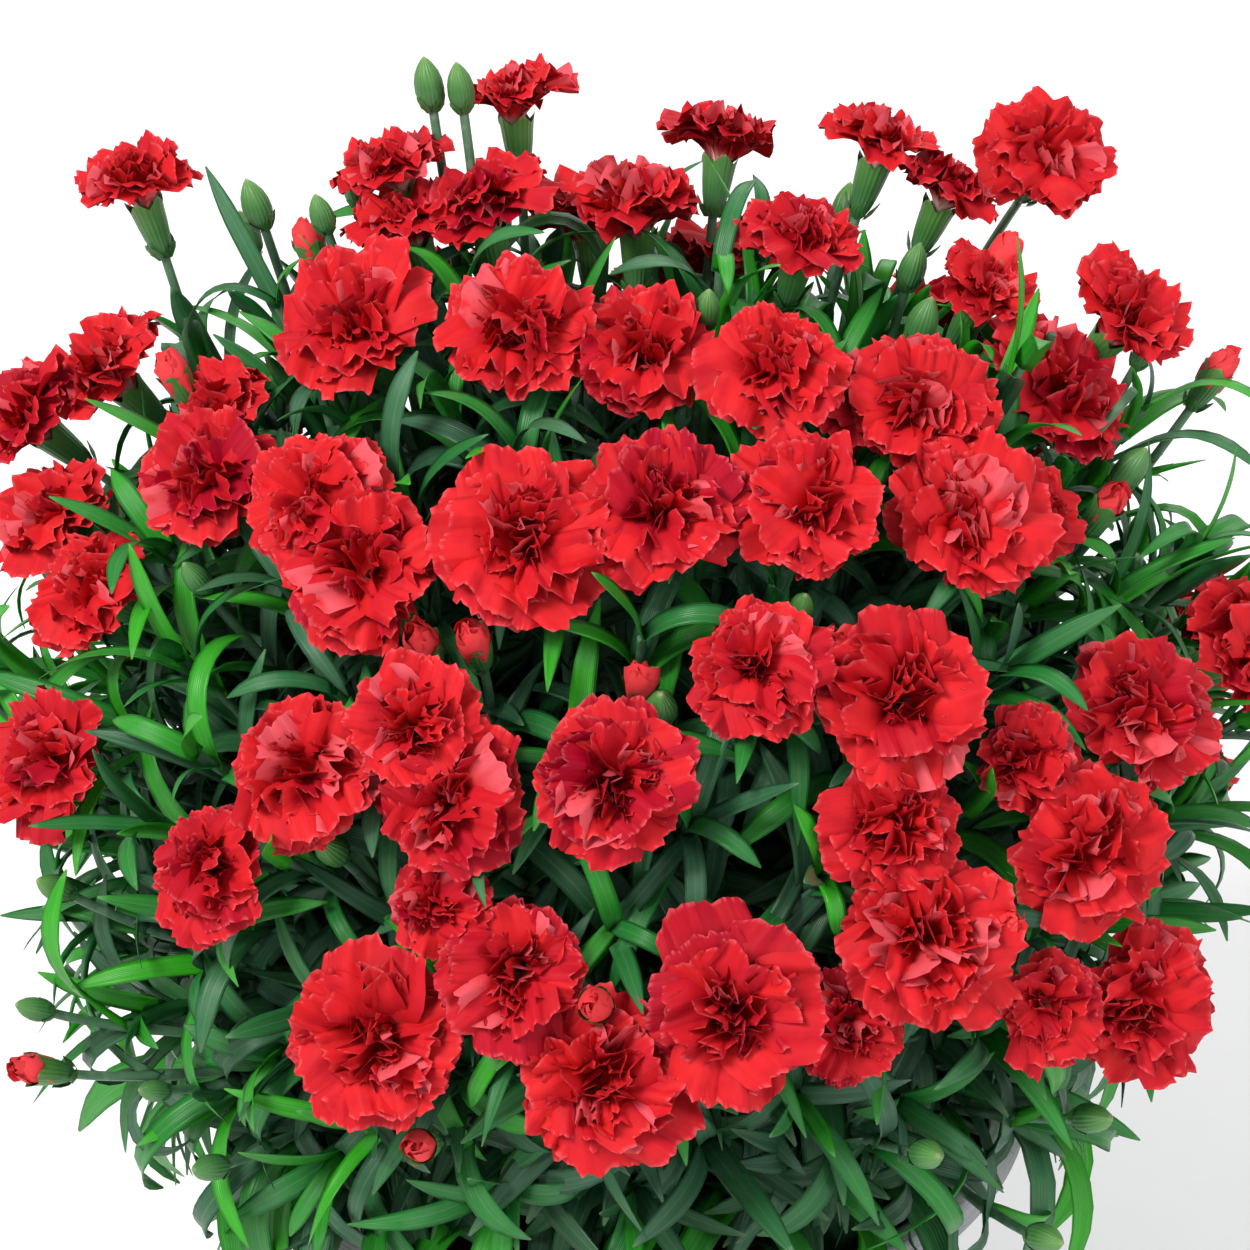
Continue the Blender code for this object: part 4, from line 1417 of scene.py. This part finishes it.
class Leaves:
    """Finds a place for each leaf, with other curls and shorter blades where one won't fit."""

    def __init__(self, kinds, room, chance):
        self.kinds = kinds
        self.room = room
        self.chance = chance
        self.rows = []

    def grow(self, sector, base, direction, spin, length, width, curls, tone):
        turn = turn_to(direction, spin)
        matrix = np.array(turn.to_matrix())
        origin = np.array(tuple(base))
        stray = self.chance.random() < STRAY_SHARE
        for _ in range(LEAF_TRIES):
            kind = self.chance.choice(curls)
            size = np.array((width, length, length))
            points = origin + (self.kinds[kind].guide * size) @ matrix.T
            if self.room.free(points, stray):
                # Painted shade: leaves far inside the canopy get a darker tone, outer ones a
                # lighter one
                depth = self.depth(points[len(points) * 2 // 3])
                tone += OUTER_PAINTED_LIGHT - INNER_PAINTED_SHADE * smooth(depth, SHADE_FROM, SHADE_TO)
                tone = float(min(1.0, max(0.0, tone)))
                self.rows.append((sector, base, turn, tuple(size), kind, tone))
                return
            length *= LEAF_SHORTER
            width *= LEAF_NARROWER

    @staticmethod
    def depth(point):
        """How far inside the canopy a point is, as a share of the way to its middle or axis."""
        offset = (point - np.array(tuple(DOME_CENTRE))) / np.array(tuple(DOME_SIZE))
        from_side = 1.0 - math.hypot(point[0], point[1]) / float(foliage_reach(point[2]))
        return min(1.0 - np.linalg.norm(offset), from_side)

    def young(self, tone, share):
        """A share of the leaves is young and bright."""
        return self.chance.uniform(0.80, 1.0) if self.chance.random() < share else tone

    def along(self, sector, points, leafy):
        """Opposite pairs, each a quarter turn from the last, longest low on the stalk."""
        chance = self.chance
        spin = chance.uniform(0.0, math.tau)
        steps = list(range(LEAF_EVERY, STALK_STEPS - 1, LEAF_EVERY))
        if leafy:
            steps += [STALK_STEPS - 2, STALK_STEPS - 1, STALK_STEPS]
        for k in steps:
            share = k / STALK_STEPS
            ahead = points[min(k + 1, STALK_STEPS)]
            tangent = (ahead - points[k - 1]).normalized()
            for side in (0.0, math.pi):
                wobble = chance.uniform(-0.35, 0.35)
                length = (STALK_LEAF[0] - STALK_LEAF[1] * share) * chance.uniform(0.75, 1.15) * MM
                width = (LEAF_WIDTH[0] - LEAF_WIDTH[1] * share) * chance.uniform(0.80, 1.15) * MM
                curls = HIGH_CURLS if share > 0.35 else LOW_CURLS
                if leafy and share > 0.9:
                    length *= 1.0 if k < STALK_STEPS else 0.75
                    curls = TIP_CURLS
                tone = self.young(0.34 + 0.20 * share + chance.gauss(0.0, 0.22), 0.15)
                self.grow(sector, points[k], tangent, spin + side + wobble, length, width, curls,
                          tone)
            spin += math.pi / 2 + chance.uniform(-0.25, 0.25)

    def skirt(self, sector, count):
        """Leaves that rise near the wall, arch over the rim and hang."""
        chance = self.chance
        for _ in range(count):
            azimuth = sector * SECTOR + chance.uniform(-0.5, 0.5) * SECTOR
            out = outward(azimuth)
            base = out * chance.uniform(0.50, 0.86) * RIM_RADIUS
            base += UP * (SOIL_TOP + chance.uniform(4, 26) * MM)
            lean = (UP * chance.uniform(0.9, 2.2) + out).normalized()
            away = out - lean * out.dot(lean)
            frame_y = turn_to(lean) @ Vector((0.0, 1.0, 0.0))
            spin = math.atan2(lean.dot(frame_y.cross(away)), frame_y.dot(away))
            spin += chance.uniform(-0.9, 0.9)
            length = chance.uniform(62, 104) * MM
            width = chance.uniform(7.0, 10.0) * MM
            tone = self.young(0.64 + chance.gauss(0.0, 0.26), 0.34)
            self.grow(sector, base, lean, spin, length, width, SKIRT_CURLS, tone)


class CARNATION_OT_leaves(bpy.types.Operator):
    """Grow paired strap leaves along every stalk and a skirt of leaves over the rim"""
    bl_idname = "carnation.leaves"
    bl_label = "Leaves"

    def execute(self, context):
        settings = context.scene.carnation_plant
        blades = [LeafKind(number) for number in range(len(LEAF_CURLS))]
        leaves = Leaves(blades, plan().room, random.Random(settings.seed + 4))
        for number, points, leafy in plan().stalks:
            leaves.along(number, points, leafy)
        for number in range(len(SHOOTS)):
            leaves.skirt(number, settings.skirt_leaves)
        kinds = kinds_collection("leaf_kinds", [blade.piece() for blade in blades])
        stand_by_shoot("leaves", leaves.rows, kinds, leaf_paint(settings), "leaf_green")
        return {"FINISHED"}


# ---------------------------------------------------------------- studio

# Lamps: name, place, width, share of the main lamp's power, colour
LAMPS = (
    ("key", (-0.9, -0.9, 1.7), 0.7, 1.0, (1.0, 0.98, 0.95)),
    ("fill", (1.3, -0.9, 1.0), 1.2, 0.25, (0.95, 0.98, 1.0)),
    ("back", (0.4, 1.4, 1.2), 1.2, 0.32, (1.0, 1.0, 1.0)),
)
AIM = Vector((-0.0018, 0.0556, RIM_HEIGHT + 0.0925))
FLOOR_CORNERS = ((-3.0, -3.0, 0.0), (3.0, -3.0, 0.0), (3.0, 3.0, 0.0), (-3.0, 3.0, 0.0))
SENSOR_WIDTH = 36.0
FARTHEST = 20.0


def area_light(name, place, size, power, colour):
    light = bpy.data.lights.new(name, "AREA")
    light.shape = "DISK"
    light.size = size
    light.energy = power
    light.color = colour
    lamp = link(bpy.data.objects.new(name, light))
    lamp.location = place
    lamp.rotation_euler = (AIM - Vector(place)).to_track_quat("-Z", "Y").to_euler()


def floor_paint(settings):
    """Pale matt board with a barely visible grain."""
    paint = Paint("studio_floor", 0.9)
    grain = paint.noise(paint.position(), 60.0, 2.0)
    light = settings.floor_colour
    paint.set(Base_Color=paint.mix(grain, light, [0.97 * c for c in light]))
    return paint.material


class CARNATION_OT_studio(bpy.types.Operator):
    """Lay the pale floor, set the soft lights and the camera"""
    bl_idname = "carnation.studio"
    bl_label = "Studio"

    def execute(self, context):
        settings = context.scene.carnation_studio
        floor = link(mesh_object("floor", FLOOR_CORNERS, [(0, 1, 2, 3)]))
        floor.data.materials.append(floor_paint(settings))
        world = bpy.data.worlds.new("studio")
        world.use_nodes = True
        sky = world.node_tree.nodes["Background"]
        sky.inputs["Color"].default_value = (1.0, 1.0, 1.0, 1.0)
        sky.inputs["Strength"].default_value = settings.sky
        context.scene.world = world
        for name, place, size, share, colour in LAMPS:
            area_light(name, place, size, settings.key_power * share, colour)
        data = bpy.data.cameras.new("camera")
        data.sensor_width = SENSOR_WIDTH
        data.lens = settings.lens
        data.clip_end = FARTHEST
        camera = link(bpy.data.objects.new("camera", data))
        tilt = settings.tilt
        camera.location = AIM + Vector((0.0, -math.cos(tilt), math.sin(tilt))) * settings.distance
        camera.rotation_euler = (math.pi / 2 - tilt, 0.0, 0.0)
        context.scene.camera = camera
        context.scene.view_settings.view_transform = "Standard"
        return {"FINISHED"}


# ---------------------------------------------------------------- add-on

class CARNATION_PT_panel(bpy.types.Panel):
    """Sizes, colours and makers of the potted carnation"""
    bl_label = "Potted carnation"
    bl_idname = "CARNATION_PT_panel"
    bl_space_type = "VIEW_3D"
    bl_region_type = "UI"
    bl_category = "Carnation"

    def draw(self, context):
        layout = self.layout
        for group in ("carnation_plant", "carnation_pot", "carnation_studio"):
            settings = getattr(context.scene, group)
            box = layout.box()
            for key in settings.__annotations__:
                box.prop(settings, key)
        for operator in OPERATORS:
            layout.operator(operator.bl_idname)


SETTINGS = (("carnation_plant", CarnationPlant), ("carnation_pot", CarnationPot),
            ("carnation_studio", CarnationStudio))
OPERATORS = (CARNATION_OT_studio, CARNATION_OT_pot, CARNATION_OT_soil, CARNATION_OT_stalks,
             CARNATION_OT_calyxes, CARNATION_OT_buds, CARNATION_OT_blooms, CARNATION_OT_leaves)


def register():
    for name, group in SETTINGS:
        bpy.utils.register_class(group)
        setattr(bpy.types.Scene, name, bpy.props.PointerProperty(type=group))
    for cls in (*OPERATORS, CARNATION_PT_panel):
        bpy.utils.register_class(cls)


def unregister():
    for cls in (CARNATION_PT_panel, *reversed(OPERATORS)):
        bpy.utils.unregister_class(cls)
    for name, group in reversed(SETTINGS):
        delattr(bpy.types.Scene, name)
        bpy.utils.unregister_class(group)


def main():
    register()
    bpy.ops.carnation.studio()
    bpy.ops.carnation.pot()
    bpy.ops.carnation.soil()
    bpy.ops.carnation.stalks()
    bpy.ops.carnation.calyxes()
    bpy.ops.carnation.buds()
    bpy.ops.carnation.blooms()
    bpy.ops.carnation.leaves()


if __name__ == "__main__":
    main()
